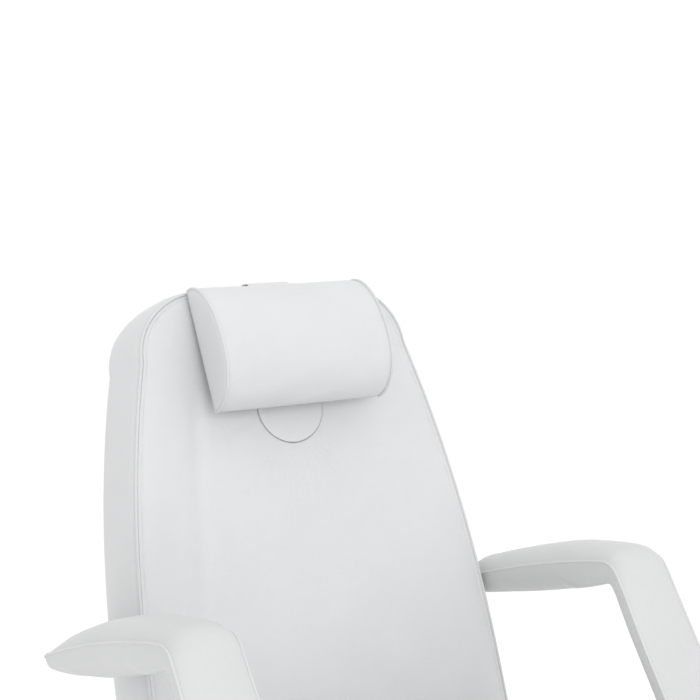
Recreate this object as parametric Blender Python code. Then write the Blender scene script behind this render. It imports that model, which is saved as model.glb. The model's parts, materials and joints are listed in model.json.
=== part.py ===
"""Beauty treatment chair: hydraulic column, hinged backrest and leg rest, swivelling armrests.

Metres, +Z up, the chair faces -Y. The origin is on the floor under the column.
Side profiles are (y, z) pairs, and each moving group hangs on an empty at its joint.
"""

import math

import bmesh
import bpy
from mathutils import Matrix, Vector

# General clearances
GAP = 0.0003
RUN = 0.0006

# Base and hydraulic column
BASE_RADIUS = 0.320
BASE_EDGE = 0.008
BASE_CROWN = 0.024
RING_WIDTH = 0.008
RING_HEIGHT = 0.012
PUMP_RADIUS = 0.050
PUMP_FLANGE_RADIUS = 0.085
PUMP_FLANGE = 0.012
PUMP_TOP = 0.285
BORE_FLOOR = 0.060
PISTON_RADIUS = 0.022
SEAL_HEIGHT = 0.008
SLEEVE_WALL = 0.003
SLEEVE_BOTTOM = 0.140
HEAD_RADIUS = 0.060
HEAD_BOTTOM = 0.372
HEAD_THICK = 0.010
WASHER_THICK = 0.005
HUB_FLANGE = 0.012
SPIGOT_RADIUS = 0.016
SPIGOT_LENGTH = 0.012

# Foot pedal of the pump
PEDAL_PIVOT_X = 0.078
PEDAL_PIVOT_Z = 0.098
PEDAL_PIN_RADIUS = 0.006
PEDAL_REACH = 0.430
PEDAL_RISE = 0.030
PEDAL_ARM_WIDTH = 0.020
PEDAL_ARM_HEIGHT = 0.018
PEDAL_PAD_LENGTH = 0.100
PEDAL_PAD_WIDTH = 0.060

# Seat
BACK_HINGE_Y = 0.2514
BACK_HINGE_Z = 0.471
SEAT_TILT = 8.0
SEAT_HALF_WIDTH = 0.272
SEAT_REAR = -0.066
SEAT_LENGTH = 0.480
SEAT_THICK = 0.098
SEAT_CORNER = 0.045
SEAT_CROWN = 0.010
RAIL_X = 0.200
RAIL_WIDTH = 0.025
RAIL_HEIGHT = 0.040
RAIL_CENTRE_Z = -0.006
RAIL_REAR = 0.028
CROSSBAR_REAR_Y = -0.140
CROSSBAR_FRONT_Y = -0.360
CHEEK_X = 0.050
CHEEK_THICK = 0.006
CHEEK_FOOT = 0.100
BOARD_THICK = 0.015
BOARD_INSET = 0.012
HINGE_PIN_RADIUS = 0.008

# Backrest
BACK_RECLINE = 18.6
BACK_FRONT = 0.062
BACK_DEPTH = 0.112
BACK_CROWN = 0.005
BACK_BOTTOM = 0.045
BACK_TOP = 0.7755
BACK_HALF_WIDTH = 0.295
BACK_SHOULDER_HALF = 0.2275
BACK_TAPER_START = 0.105
BACK_TAPER_POWER = 2.36
BACK_CORNER_WIDTH = 0.114
BACK_CORNER_HEIGHT = 0.1005
BACK_FOOT_CORNER = 0.035
FACE_HOLE_RADIUS = 0.0547
FACE_HOLE_Z = 0.593
BAR_X = 0.170
BAR_THICK = 0.008
BAR_DEPTH = 0.040
BAR_EYE = 0.022
BACK_BAR_TOP = 0.480
BACK_CROSSBAR_Z = 0.215

# Leg rest
LEG_HINGE_Y = -0.566
LEG_DROP = 58.0
LEG_START = 0.032
LEG_LENGTH = 0.450
LEG_HALF_WIDTH = 0.262
LEG_THICK = 0.080
LEG_CORNER = 0.060
LEG_CROWN = 0.008
LEG_SEAT_LEVEL = 0.040
LEG_BAR_END = 0.400
LEG_CROSSBAR_Y = -0.176

# Gas struts
STRUT_RADIUS = 0.011
STRUT_BORE = 0.0055
STRUT_ROD = 0.005
STRUT_EYE = 0.011
STRUT_EYE_WIDTH = 0.023
STRUT_PIN = 0.004
STRUT_TAIL = 0.016
BACK_STRUT_ARM = 0.160
BACK_STRUT_SPREAD = 136.0
BACK_STRUT_TUBE = 0.150
BACK_STRUT_SLOT = 0.012
LEG_STRUT_ARM = 0.120
LEG_STRUT_SPREAD = 82.0
LEG_STRUT_TUBE = 0.126
LEG_STRUT_SLOT = 0.009
LUG_THICK = 0.006
LUG_RADIUS = 0.012

# Armrests
ARM_INNER = 0.2945
ARM_WIDTH = 0.095
ARM_ELBOW_Y = 0.014
ARM_TOP_Z = 0.858
ARM_ELBOW_DEPTH = 0.031
ARM_SLOPE = 0.19
ARM_SAG = 0.31
ARM_UNDER_SLOPE = 0.36
ARM_UNDER_SAG = 0.27
ARM_TIP_Y = 0.394
ARM_TIP_CUT = 0.020
ARM_CROWN = 0.028
ARM_CROWN_START = 0.45
ARM_CROWN_GROWTH = 5.0
ARM_LIMB_THICK = 0.018
ARM_LIMB_LEAN = 34.8
ARM_LIMB_END_Z = 0.606
ARM_BAR_THICK = 0.006
ARM_BAR_WIDTH = 0.060
ARM_BAR_REACH = 0.300
POST_RADIUS = 0.012
POST_BEHIND_BAR = 0.0064
POST_TOP = 0.050
POST_BOTTOM = -0.034
SOCKET_WALL = 0.008
SOCKET_TOP = 0.022
SOCKET_BOTTOM = -0.042
KNOB_RADIUS = 0.020
KNOB_LENGTH = 0.026

# Head pillow and strap
PILLOW_HALF_LENGTH = 0.1405
PILLOW_TOP = 0.7715
PILLOW_HEIGHT = 0.186
PILLOW_DEPTH = 0.0645
PILLOW_TILT = 8.0
PILLOW_ROUNDNESS = 2.25
PILLOW_LOW_FULLNESS = 0.10
PILLOW_STANDOFF = 0.0073
PILLOW_CAP = 0.006
STRAP_WIDTH = 0.069
STRAP_THICK = 0.002
STRAP_REAR_END = 0.690

# Release levers
LEVER_REACH = 0.095
LEVER_THICK = 0.010
LEVER_AXLE = 0.004
GRIP_LENGTH = 0.060

for old in list(bpy.data.objects):
    bpy.data.objects.remove(old, do_unlink=True)


def material(name, colour, roughness, metallic):
    made = bpy.data.materials.new(name)
    made.use_nodes = True
    shader = made.node_tree.nodes["Principled BSDF"]
    shader.inputs["Base Color"].default_value = (*colour, 1.0)
    shader.inputs["Roughness"].default_value = roughness
    shader.inputs["Metallic"].default_value = metallic
    made.diffuse_color = (*colour, 1.0)
    return made


LEATHER = material("white upholstery", (0.80, 0.80, 0.80), 0.45, 0.0)
STRAP = material("white webbing", (0.72, 0.72, 0.72), 0.70, 0.0)
PLYWOOD = material("plywood", (0.55, 0.40, 0.24), 0.70, 0.0)
FACED_BOARD = material("white_faced_board", (0.80, 0.80, 0.81), 0.45, 0.0)
CHROME = material("chrome", (0.80, 0.80, 0.82), 0.12, 1.0)
PAINT = material("white powder coat", (0.70, 0.70, 0.71), 0.40, 0.0)
STEEL = material("bright steel", (0.55, 0.55, 0.57), 0.30, 1.0)
RUBBER = material("black rubber", (0.03, 0.03, 0.03), 0.75, 0.0)
PLASTIC = material("black plastic", (0.04, 0.04, 0.04), 0.45, 0.0)


def datum(name, parent=None, location=(0, 0, 0), tilt=0.0):
    """An empty on a joint axis, turned about X by tilt degrees."""
    empty = bpy.data.objects.new(name, None)
    bpy.context.collection.objects.link(empty)
    empty.parent = parent
    empty.location = location
    empty.rotation_euler = (math.radians(tilt), 0, 0)
    bpy.context.view_layer.update()
    return empty


def add(name, bm, parent, look, smooth=None):
    """Closes a bmesh into a named object under its datum."""
    bmesh.ops.remove_doubles(bm, verts=bm.verts, dist=1e-6)
    bmesh.ops.recalc_face_normals(bm, faces=bm.faces)
    mesh = bpy.data.meshes.new(name)
    bm.to_mesh(mesh)
    bm.free()
    piece = bpy.data.objects.new(name, mesh)
    bpy.context.collection.objects.link(piece)
    piece.parent = parent
    mesh.materials.append(look)
    if smooth is not None:
        mesh.shade_smooth()
        mesh.set_sharp_from_angle(angle=math.radians(smooth))
    return piece


def boolean(piece, tool, operation):
    tool.hide_render = True
    tool.display_type = "WIRE"
    modifier = piece.modifiers.new(operation.lower() + " " + tool.name, "BOOLEAN")
    modifier.object = tool
    modifier.operation = operation
    modifier.solver = "EXACT"


def circle(centre, radius, count=20, start=0.0, sweep=360.0):
    """Points on an arc, counter-clockwise, for one side profile."""
    last = count if sweep == 360.0 else count - 1
    turns = [math.radians(start + sweep * k / last) for k in range(count)]
    return [(centre[0] + radius * math.cos(a), centre[1] + radius * math.sin(a)) for a in turns]


def stadium(low, high, radius, count=9):
    """Round-ended slot between two points of a side profile."""
    run = math.degrees(math.atan2(high[1] - low[1], high[0] - low[0]))
    return circle(high, radius, count, run - 90, 180) + circle(low, radius, count, run + 90, 180)


def plate(outline, low, high, holes=()):
    """Side profile pushed along X from low to high, with holes left open."""
    bm = bmesh.new()
    edges = []
    for loop in (outline, *holes):
        verts = [bm.verts.new((low, y, z)) for y, z in loop]
        edges += [bm.edges.new((verts[k - 1], verts[k])) for k in range(len(verts))]
    if holes:
        bmesh.ops.triangle_fill(bm, edges=edges, use_beauty=True)
    else:
        bm.faces.new([v for v in bm.verts])
    grown = bmesh.ops.extrude_face_region(bm, geom=list(bm.faces))
    moved = [v for v in grown["geom"] if isinstance(v, bmesh.types.BMVert)]
    bmesh.ops.translate(bm, verts=moved, vec=(high - low, 0, 0))
    return bm


def box(low, high, round_by=0.0):
    """Block between two corners, its edges eased by round_by."""
    bm = bmesh.new()
    bmesh.ops.create_cube(bm, size=1.0)
    size = [b - a for a, b in zip(low, high)]
    middle = [(a + b) / 2 for a, b in zip(low, high)]
    bmesh.ops.scale(bm, verts=bm.verts, vec=size)
    bmesh.ops.translate(bm, verts=bm.verts, vec=middle)
    if round_by:
        bmesh.ops.bevel(bm, geom=list(bm.edges), offset=round_by, segments=1, affect="EDGES")
    return bm


def turned(profile, count=32):
    """Closed (radius, height) profile spun about Z. A radius of zero closes on the axis."""
    bm = bmesh.new()
    rings = []
    for radius, height in profile:
        if radius == 0:
            rings.append([bm.verts.new((0, 0, height))])
            continue
        turns = [2 * math.pi * k / count for k in range(count)]
        rings.append([bm.verts.new((radius * math.cos(a), radius * math.sin(a), height)) for a in turns])
    for one, two in zip(rings, rings[1:] + rings[:1]):
        if len(one) == 1 and len(two) == 1:
            continue
        for k in range(count):
            n = (k + 1) % count
            corners = [one[k % len(one)], one[n % len(one)], two[n % len(two)], two[k % len(two)]]
            bm.faces.new(list(dict.fromkeys(corners)))
    return bm


def pushed(bm, matrix):
    bmesh.ops.transform(bm, matrix=matrix, verts=bm.verts)
    return bm


def loft(rings):
    """Skin through rings of equal count, capped flat at both ends."""
    bm = bmesh.new()
    loops = [[bm.verts.new(p) for p in ring] for ring in rings]
    count = len(loops[0])
    for one, two in zip(loops, loops[1:]):
        for k in range(count):
            n = (k + 1) % count
            bm.faces.new((one[k], one[n], two[n], two[k]))
    bm.faces.new(loops[0])
    bm.faces.new(loops[-1])
    return bm


def inset(outline, by):
    """The closed outline moved inwards by a distance."""
    moved = []
    count = len(outline)
    for k in range(count):
        x0, y0 = outline[k - 1]
        x1, y1 = outline[(k + 1) % count]
        length = math.hypot(x1 - x0, y1 - y0)
        x, y = outline[k]
        moved.append((x - by * (y1 - y0) / length, y + by * (x1 - x0) / length))
    return moved


def shrunk(outline, share):
    """The closed outline drawn in towards the middle of its box."""
    cx = (max(p[0] for p in outline) + min(p[0] for p in outline)) / 2
    cy = (max(p[1] for p in outline) + min(p[1] for p in outline)) / 2
    return [(cx + share * (x - cx), cy + share * (y - cy)) for x, y in outline]


def rounded(half_width, low, high, corner, count=7):
    """Rounded rectangle, counter-clockwise, from low to high along its second axis."""
    spots = [
        (half_width - corner, low + corner, -90),
        (half_width - corner, high - corner, 0),
        (-half_width + corner, high - corner, 90),
        (-half_width + corner, low + corner, 180),
    ]
    return [p for x, y, start in spots for p in circle((x, y), corner, count, start, 90)]


# Seam line, side bulge and crown of an upholstered pad, from its rear to its front
SEAM_DRAW = 0.004
SIDE_BULGE = 0.003
HEM_ROUND = 0.006


def upholstery(outline, depth, crown, spot):
    """Pad with a pocket for its board, bulging sides drawn in at the seam, and a crowned face.

    spot turns (across, along, height above the rear) into a local point.
    """
    pocket = inset(outline, BOARD_INSET - GAP)
    pocket_floor = BOARD_THICK + GAP
    levels = [
        (pocket, pocket_floor),
        (pocket, 0.0),
        (inset(outline, SIDE_BULGE + HEM_ROUND), 0.0),
        (inset(outline, SIDE_BULGE), HEM_ROUND),
        (outline, depth * 0.5),
        (inset(outline, SIDE_BULGE), depth - HEM_ROUND),
        (inset(outline, SIDE_BULGE + SEAM_DRAW), depth),
        (shrunk(outline, 0.93), depth + crown * 0.55),
        (shrunk(outline, 0.80), depth + crown * 0.85),
        (shrunk(outline, 0.50), depth + crown),
    ]
    return loft([[spot(u, v, h) for u, v in ring] for ring, h in levels])


def board(outline, spot):
    edge = inset(outline, BOARD_INSET)
    return loft([[spot(u, v, h) for u, v in edge] for h in (0.0, BOARD_THICK)])


# Datums: one empty on each joint axis
lift = datum("lift_datum")
swivel = datum("swivel_datum", lift)
seat = datum("seat_datum", swivel, (0, BACK_HINGE_Y, BACK_HINGE_Z), -SEAT_TILT)
back = datum("back_datum", swivel, (0, BACK_HINGE_Y, BACK_HINGE_Z), -BACK_RECLINE)
leg_hinge = seat.matrix_world @ Vector((0, LEG_HINGE_Y, RAIL_CENTRE_Z))
leg = datum("leg_datum", swivel, leg_hinge, LEG_DROP)


def in_seat(point):
    return seat.matrix_world.inverted() @ point


def pin(ends, radius, heads, head_radius, collar=None, count=14):
    """Turned pin along X with a head at each end, and a collar between two plates."""
    low, high = ends
    profile = [(0, low - heads), (head_radius, low - heads), (head_radius, low), (radius, low)]
    if collar:
        profile += [(radius, collar[0]), (head_radius, collar[0])]
        profile += [(head_radius, collar[1]), (radius, collar[1])]
    profile += [(radius, high), (head_radius, high), (head_radius, high + heads), (0, high + heads)]
    return pushed(turned(profile, count), Matrix.Rotation(math.radians(90), 4, "Y"))


# Base plate, edge ring, pump and its seal
plate_profile = [
    (0, 0),
    (BASE_RADIUS, 0),
    (BASE_RADIUS, BASE_EDGE),
    (BASE_RADIUS * 0.72, BASE_CROWN * 0.62),
    (PUMP_FLANGE_RADIUS + 0.02, BASE_CROWN),
    (0, BASE_CROWN),
]
add("base_plate", turned(plate_profile, 56), None, CHROME, 30)

ring_low = BASE_RADIUS + GAP
ring_profile = [
    (ring_low, 0),
    (ring_low + RING_WIDTH, 0),
    (ring_low + RING_WIDTH, RING_HEIGHT * 0.7),
    (ring_low + RING_WIDTH * 0.5, RING_HEIGHT),
    (ring_low, RING_HEIGHT),
]
add("base_ring", turned(ring_profile, 56), None, RUBBER, 30)

pump_foot = BASE_CROWN + GAP
bore = PISTON_RADIUS + RUN
pump_profile = [
    (0, pump_foot),
    (PUMP_FLANGE_RADIUS, pump_foot),
    (PUMP_FLANGE_RADIUS, pump_foot + PUMP_FLANGE),
    (PUMP_RADIUS + 0.006, pump_foot + PUMP_FLANGE + 0.006),
    (PUMP_RADIUS, pump_foot + PUMP_FLANGE + 0.016),
    (PUMP_RADIUS, PUMP_TOP - 0.006),
    (PUMP_RADIUS - 0.006, PUMP_TOP),
    (bore, PUMP_TOP),
    (bore, BORE_FLOOR),
    (0, BORE_FLOOR),
]
pump_body = add("pump_body", turned(pump_profile), None, PAINT, 30)
boss_radius = PEDAL_PIN_RADIUS + 0.012
boss_half = PEDAL_ARM_WIDTH / 2 + RUN + 0.008
boss_start = PUMP_RADIUS - 0.010
quarter = Matrix.Rotation(math.radians(-90), 4, "Z")
boss_outline = [(boss_start, PEDAL_PIVOT_Z + boss_radius), (boss_start, PEDAL_PIVOT_Z - boss_radius)]
boss_outline += circle((PEDAL_PIVOT_X, PEDAL_PIVOT_Z), boss_radius, 11, -90, 180)
boss = add("pump_boss_tool", pushed(plate(boss_outline, -boss_half, boss_half), quarter), None, PAINT)
boolean(pump_body, boss, "UNION")
slot_half = PEDAL_ARM_WIDTH / 2 + RUN
slot_low = (PEDAL_PIVOT_X - boss_radius - 0.004, -slot_half, PEDAL_PIVOT_Z - 0.06)
slot_high = (PEDAL_PIVOT_X + 0.06, slot_half, PEDAL_PIVOT_Z + 0.06)
boolean(pump_body, add("pump_slot_tool", box(slot_low, slot_high), None, PAINT), "DIFFERENCE")
hole = circle((PEDAL_PIVOT_X, PEDAL_PIVOT_Z), PEDAL_PIN_RADIUS + GAP)
hole_tool = add("pump_hole_tool", pushed(plate(hole, -boss_half * 2, boss_half * 2), quarter), None, PAINT)
boolean(pump_body, hole_tool, "DIFFERENCE")

seal_profile = [
    (bore, PUMP_TOP + GAP),
    (PUMP_RADIUS - 0.012, PUMP_TOP + GAP),
    (PUMP_RADIUS - 0.014, PUMP_TOP + GAP + SEAL_HEIGHT),
    (bore, PUMP_TOP + GAP + SEAL_HEIGHT),
]
add("rod_seal", turned(seal_profile), None, RUBBER, 30)
pedal_pin = pin((-boss_half - GAP, boss_half + GAP), PEDAL_PIN_RADIUS, 0.003, PEDAL_PIN_RADIUS + 0.004)
pedal_spot = Matrix.Translation((PEDAL_PIVOT_X, 0, PEDAL_PIVOT_Z)) @ quarter
add("pedal_pin", pushed(pedal_pin, pedal_spot), None, STEEL, 30)

# Foot pedal: a forged arm on its pin with a rubber tread
pedal_lean = math.degrees(math.atan2(PEDAL_RISE, PEDAL_REACH - PEDAL_PIVOT_X))
pedal = datum("pedal_datum", None, (PEDAL_PIVOT_X, 0, PEDAL_PIVOT_Z))
pedal.rotation_euler = (0, math.radians(-pedal_lean), 0)
pedal_length = (PEDAL_REACH - PEDAL_PIVOT_X) / math.cos(math.radians(pedal_lean))
half_arm = PEDAL_ARM_HEIGHT / 2
eye = PEDAL_PIN_RADIUS + 0.008
arm_outline = circle((0, 0), eye, 15, 45, 270)
arm_outline += [(0.03, -half_arm), (pedal_length, -half_arm * 0.7), (pedal_length, half_arm * 0.7), (0.03, half_arm)]
pedal_hole = circle((0, 0), PEDAL_PIN_RADIUS + GAP)
pedal_arm = plate(arm_outline, -PEDAL_ARM_WIDTH / 2, PEDAL_ARM_WIDTH / 2, [pedal_hole])
add("pump_lever", pushed(pedal_arm, quarter), pedal, CHROME, 30)
pad_start = pedal_length - PEDAL_PAD_LENGTH
pad_low = (pad_start, -PEDAL_PAD_WIDTH / 2, -half_arm - 0.005)
pad_high = (pedal_length + 0.006, PEDAL_PAD_WIDTH / 2, half_arm + 0.008)
pedal_pad = add("pedal_pad", box(pad_low, pad_high, 0.004), pedal, RUBBER)
sock_low = (pad_start - 0.01, -PEDAL_ARM_WIDTH / 2 - GAP, -half_arm - GAP)
sock_high = (pedal_length + GAP, PEDAL_ARM_WIDTH / 2 + GAP, half_arm + GAP)
boolean(pedal_pad, add("pedal_sock_tool", box(sock_low, sock_high), pedal, RUBBER), "DIFFERENCE")

# Piston, its sleeve and the thrust washer
head_top = HEAD_BOTTOM + HEAD_THICK
spigot_top = head_top + WASHER_THICK + SPIGOT_LENGTH
piston_profile = [
    (0, BORE_FLOOR + 0.002),
    (PISTON_RADIUS, BORE_FLOOR + 0.002),
    (PISTON_RADIUS, HEAD_BOTTOM),
    (HEAD_RADIUS, HEAD_BOTTOM),
    (HEAD_RADIUS, head_top),
    (SPIGOT_RADIUS, head_top),
    (SPIGOT_RADIUS, spigot_top),
    (0, spigot_top),
]
add("piston_rod", turned(piston_profile), lift, CHROME, 30)
sleeve_inner = PUMP_RADIUS + 0.003
sleeve_profile = [
    (sleeve_inner, SLEEVE_BOTTOM),
    (sleeve_inner + SLEEVE_WALL, SLEEVE_BOTTOM),
    (sleeve_inner + SLEEVE_WALL, HEAD_BOTTOM - GAP),
    (PISTON_RADIUS + GAP, HEAD_BOTTOM - GAP),
    (PISTON_RADIUS + GAP, HEAD_BOTTOM - GAP - SLEEVE_WALL),
    (sleeve_inner, HEAD_BOTTOM - GAP - SLEEVE_WALL),
]
add("column_sleeve", turned(sleeve_profile, 40), lift, CHROME, 30)
washer_low = head_top + GAP
washer_profile = [
    (SPIGOT_RADIUS + RUN, washer_low),
    (HEAD_RADIUS - 0.006, washer_low),
    (HEAD_RADIUS - 0.006, washer_low + WASHER_THICK),
    (SPIGOT_RADIUS + RUN, washer_low + WASHER_THICK),
]
add("thrust_washer", turned(washer_profile), lift, STEEL, 30)

# Swivel hub and the two sloped cheeks that carry the seat frame
hub_low = washer_low + WASHER_THICK + GAP
hub_top = hub_low + HUB_FLANGE
hub_profile = [
    (SPIGOT_RADIUS + RUN, hub_low),
    (HEAD_RADIUS, hub_low),
    (HEAD_RADIUS + 0.03, hub_low + HUB_FLANGE * 0.5),
    (HEAD_RADIUS + 0.03, hub_top),
    (SPIGOT_RADIUS + RUN, hub_top),
]
add("swivel_hub", turned(hub_profile), swivel, PAINT, 30)

rail_low = RAIL_CENTRE_Z - RAIL_HEIGHT / 2
rail_high = RAIL_CENTRE_Z + RAIL_HEIGHT / 2
cheek_foot = [Vector((0, y, hub_top + GAP)) for y in (-CHEEK_FOOT / 2, CHEEK_FOOT / 2)]
cheek_ends = (CROSSBAR_REAR_Y + RAIL_WIDTH / 2, CROSSBAR_FRONT_Y - RAIL_WIDTH / 2)
cheek_outline = [tuple(in_seat(p).yz) for p in cheek_foot]
cheek_outline += [(cheek_ends[0], rail_low - GAP - 0.012), (cheek_ends[0], rail_low - GAP)]
cheek_outline += [(cheek_ends[1], rail_low - GAP), (cheek_ends[1], rail_low - GAP - 0.012)]
for side, name in ((-1, "left"), (1, "right")):
    middle = side * CHEEK_X
    cheek = plate(cheek_outline, middle - CHEEK_THICK / 2, middle + CHEEK_THICK / 2)
    add("saddle_cheek_" + name, cheek, seat, PAINT)

# Seat frame: side rails bored for both hinges, and two crossbars
rail_front = LEG_HINGE_Y - 0.020
rail_outline = [
    (RAIL_REAR, rail_low + 0.006),
    (RAIL_REAR, rail_high - 0.006),
    (RAIL_REAR - 0.006, rail_high),
    (rail_front + 0.006, rail_high),
    (rail_front, rail_high - 0.006),
    (rail_front, rail_low + 0.006),
    (rail_front + 0.006, rail_low),
    (RAIL_REAR - 0.006, rail_low),
]
pin_hole = HINGE_PIN_RADIUS + GAP
hinges = [circle((0, 0), pin_hole), circle((LEG_HINGE_Y, RAIL_CENTRE_Z), pin_hole)]
rail_in = RAIL_X - RAIL_WIDTH / 2
rail_out = RAIL_X + RAIL_WIDTH / 2
bar_in = BAR_X - BAR_THICK / 2
bar_out = BAR_X + BAR_THICK / 2
collar = (bar_out + GAP, rail_in - GAP)
for side, name in ((-1, "left"), (1, "right")):
    ends = sorted((side * rail_in, side * rail_out))
    add("seat_rail_" + name, plate(rail_outline, *ends, hinges), seat, PAINT)
    pin_ends = sorted((side * (bar_in - GAP), side * (rail_out + GAP)))
    between = sorted((side * collar[0], side * collar[1]))
    for hinge, at in (("back", (0, 0, 0)), ("leg", (0, LEG_HINGE_Y, RAIL_CENTRE_Z))):
        bolt = pin(pin_ends, HINGE_PIN_RADIUS, 0.005, HINGE_PIN_RADIUS + 0.005, between)
        add(hinge + "_hinge_pin_" + name, pushed(bolt, Matrix.Translation(at)), seat, STEEL, 30)
bar_end = rail_in - GAP
for name, y in (("rear", CROSSBAR_REAR_Y), ("front", CROSSBAR_FRONT_Y)):
    low = (-bar_end, y - RAIL_WIDTH / 2, rail_low)
    high = (bar_end, y + RAIL_WIDTH / 2, rail_high)
    add("seat_crossbar_" + name, box(low, high, 0.002), seat, PAINT)

# Seat pad on its board
seat_level = rail_high + GAP
seat_outline = rounded(SEAT_HALF_WIDTH, SEAT_REAR - SEAT_LENGTH, SEAT_REAR, SEAT_CORNER)


def on_seat(u, v, h):
    return (u, v, seat_level + h)


add("seat_board", board(seat_outline, on_seat), seat, PLYWOOD)
add("seat_cushion", upholstery(seat_outline, SEAT_THICK, SEAT_CROWN, on_seat), seat, LEATHER, 50)

# Gas strut triangles: equal arms from the hinge, so the strut turns by half of the hinge's angle
lug_gap = STRUT_EYE_WIDTH / 2 + GAP
lug_out = lug_gap + LUG_THICK
back_rear = BACK_DEPTH - BACK_FRONT
lug_y = back_rear + GAP + BAR_DEPTH / 2
back_lug = (lug_y, math.sqrt(BACK_STRUT_ARM**2 - lug_y**2))
leg_lug_z = BAR_THICK
leg_lug = (-math.sqrt(LEG_STRUT_ARM**2 - leg_lug_z**2), leg_lug_z)


def strut_foot(group, lug, spread):
    """World points of the strut's far pivot and of its pivot on the hinged group."""
    hinge = group.matrix_world.translation
    near = group.matrix_world @ Vector((0, *lug))
    far = hinge + Matrix.Rotation(math.radians(spread), 3, "X") @ (near - hinge)
    return far, near


def bracket(name, foot, root_low, root_high):
    """Arm from a crossbar face to a fork that holds the strut's far pivot."""
    y, z = foot
    lean = math.degrees(math.atan2(z - (root_low[1] + root_high[1]) / 2, y - root_low[0]))
    outline = [root_high, root_low]
    if y > root_low[0]:
        outline += circle(foot, LUG_RADIUS, 11, lean - 90, 180)
    else:
        outline = [root_low, root_high] + circle(foot, LUG_RADIUS, 11, lean - 90, 180)
    hole = circle(foot, STRUT_PIN + GAP, 12)
    made = add(name, plate(outline, -lug_out, lug_out, [hole]), seat, PAINT)
    fork = circle(foot, LUG_RADIUS * 2.6, 24)
    boolean(made, add(name + "_fork_tool", plate(fork, -lug_gap, lug_gap), seat, PAINT), "DIFFERENCE")
    ends = (-lug_out - GAP, lug_out + GAP)
    bolt = pin(ends, STRUT_PIN, 0.003, STRUT_PIN + 0.003, None, 12)
    return pushed(bolt, Matrix.Translation((0, y, z)))


def strut(name, far, near, tube, rod_in, slot):
    """Gas strut: tube on its far pivot, and a rod whose slotted eye rides on the near pin."""
    run = near - far
    lean = math.degrees(math.atan2(run.y, run.z))
    tube_datum = datum(name + "_tube_datum", swivel, far, -lean)
    rod_datum = datum(name + "_rod_datum", swivel, far, -lean)
    reach = run.length
    half = STRUT_EYE_WIDTH / 2
    eye_outline = circle((0, 0), STRUT_EYE, 13, 150, 240)
    eye_outline += [(STRUT_EYE * 0.6, STRUT_TAIL + 0.004), (-STRUT_EYE * 0.6, STRUT_TAIL + 0.004)]
    hole = circle((0, 0), STRUT_PIN + GAP, 12)
    tube_piece = add(name + "_tube", plate(eye_outline, -half, half, [hole]), tube_datum, PLASTIC, 30)
    barrel = [
        (0, STRUT_TAIL),
        (STRUT_RADIUS, STRUT_TAIL),
        (STRUT_RADIUS, tube),
        (STRUT_BORE, tube),
        (STRUT_BORE, STRUT_TAIL + 0.006),
        (0, STRUT_TAIL + 0.006),
    ]
    boolean(tube_piece, add(name + "_barrel_tool", turned(barrel, 20), tube_datum, PLASTIC), "UNION")
    neck = reach - STRUT_EYE
    top = (0, reach + slot)
    eye_outline = [(STRUT_EYE * 0.6, neck - 0.006), (STRUT_EYE, reach)]
    eye_outline += circle(top, STRUT_EYE * 0.9, 11, 0, 180)
    eye_outline += [(-STRUT_EYE, reach), (-STRUT_EYE * 0.6, neck - 0.006)]
    opening = stadium((0, reach - GAP), top, STRUT_PIN + GAP, 7)
    rod_piece = add(name + "_rod", plate(eye_outline, -half, half, [opening]), rod_datum, STEEL, 30)
    shaft = [(0, rod_in), (STRUT_ROD, rod_in), (STRUT_ROD, neck), (0, neck)]
    boolean(rod_piece, add(name + "_shaft_tool", turned(shaft, 16), rod_datum, STEEL), "UNION")


back_far, back_near = strut_foot(back, back_lug, -BACK_STRUT_SPREAD)
foot = tuple(in_seat(back_far).yz)
face = CROSSBAR_REAR_Y + RAIL_WIDTH / 2 + GAP
bolt = bracket("back_strut_bracket", foot, (face, rail_low + 0.002), (face, rail_high - 0.002))
add("back_strut_foot_pin", bolt, seat, STEEL, 30)
strut("back_strut", back_far, back_near, BACK_STRUT_TUBE, BACK_STRUT_TUBE - 0.012, BACK_STRUT_SLOT)

leg_far, leg_near = strut_foot(leg, leg_lug, LEG_STRUT_SPREAD)
foot = tuple(in_seat(leg_far).yz)
face = CROSSBAR_FRONT_Y - RAIL_WIDTH / 2 - GAP
bolt = bracket("leg_strut_bracket", foot, (face, rail_low + 0.002), (face, rail_high - 0.002))
add("leg_strut_foot_pin", bolt, seat, STEEL, 30)
strut("leg_strut", leg_far, leg_near, LEG_STRUT_TUBE, STRUT_TAIL + 0.010, LEG_STRUT_SLOT)

# Backrest: two steel bars with a forward eye, a crossbar with the strut fork, board and pad
bar_front = back_rear + GAP
bar_rear = bar_front + BAR_DEPTH
bar_outline = circle((0, 0), BAR_EYE, 15, 90, 200)
bar_outline += [
    (bar_rear - 0.012, -0.004),
    (bar_rear, 0.020),
    (bar_rear, BACK_BAR_TOP - 0.025),
    (bar_rear - 0.025, BACK_BAR_TOP),
    (bar_front, BACK_BAR_TOP),
    (bar_front, BACK_BOTTOM),
    (bar_front - 0.010, BAR_EYE),
]
for side, name in ((-1, "left"), (1, "right")):
    ends = sorted((side * bar_in, side * bar_out))
    add("back_bar_" + name, plate(bar_outline, *ends, [circle((0, 0), pin_hole)]), back, PAINT)

span = bar_in - GAP
beam = RAIL_WIDTH


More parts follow.
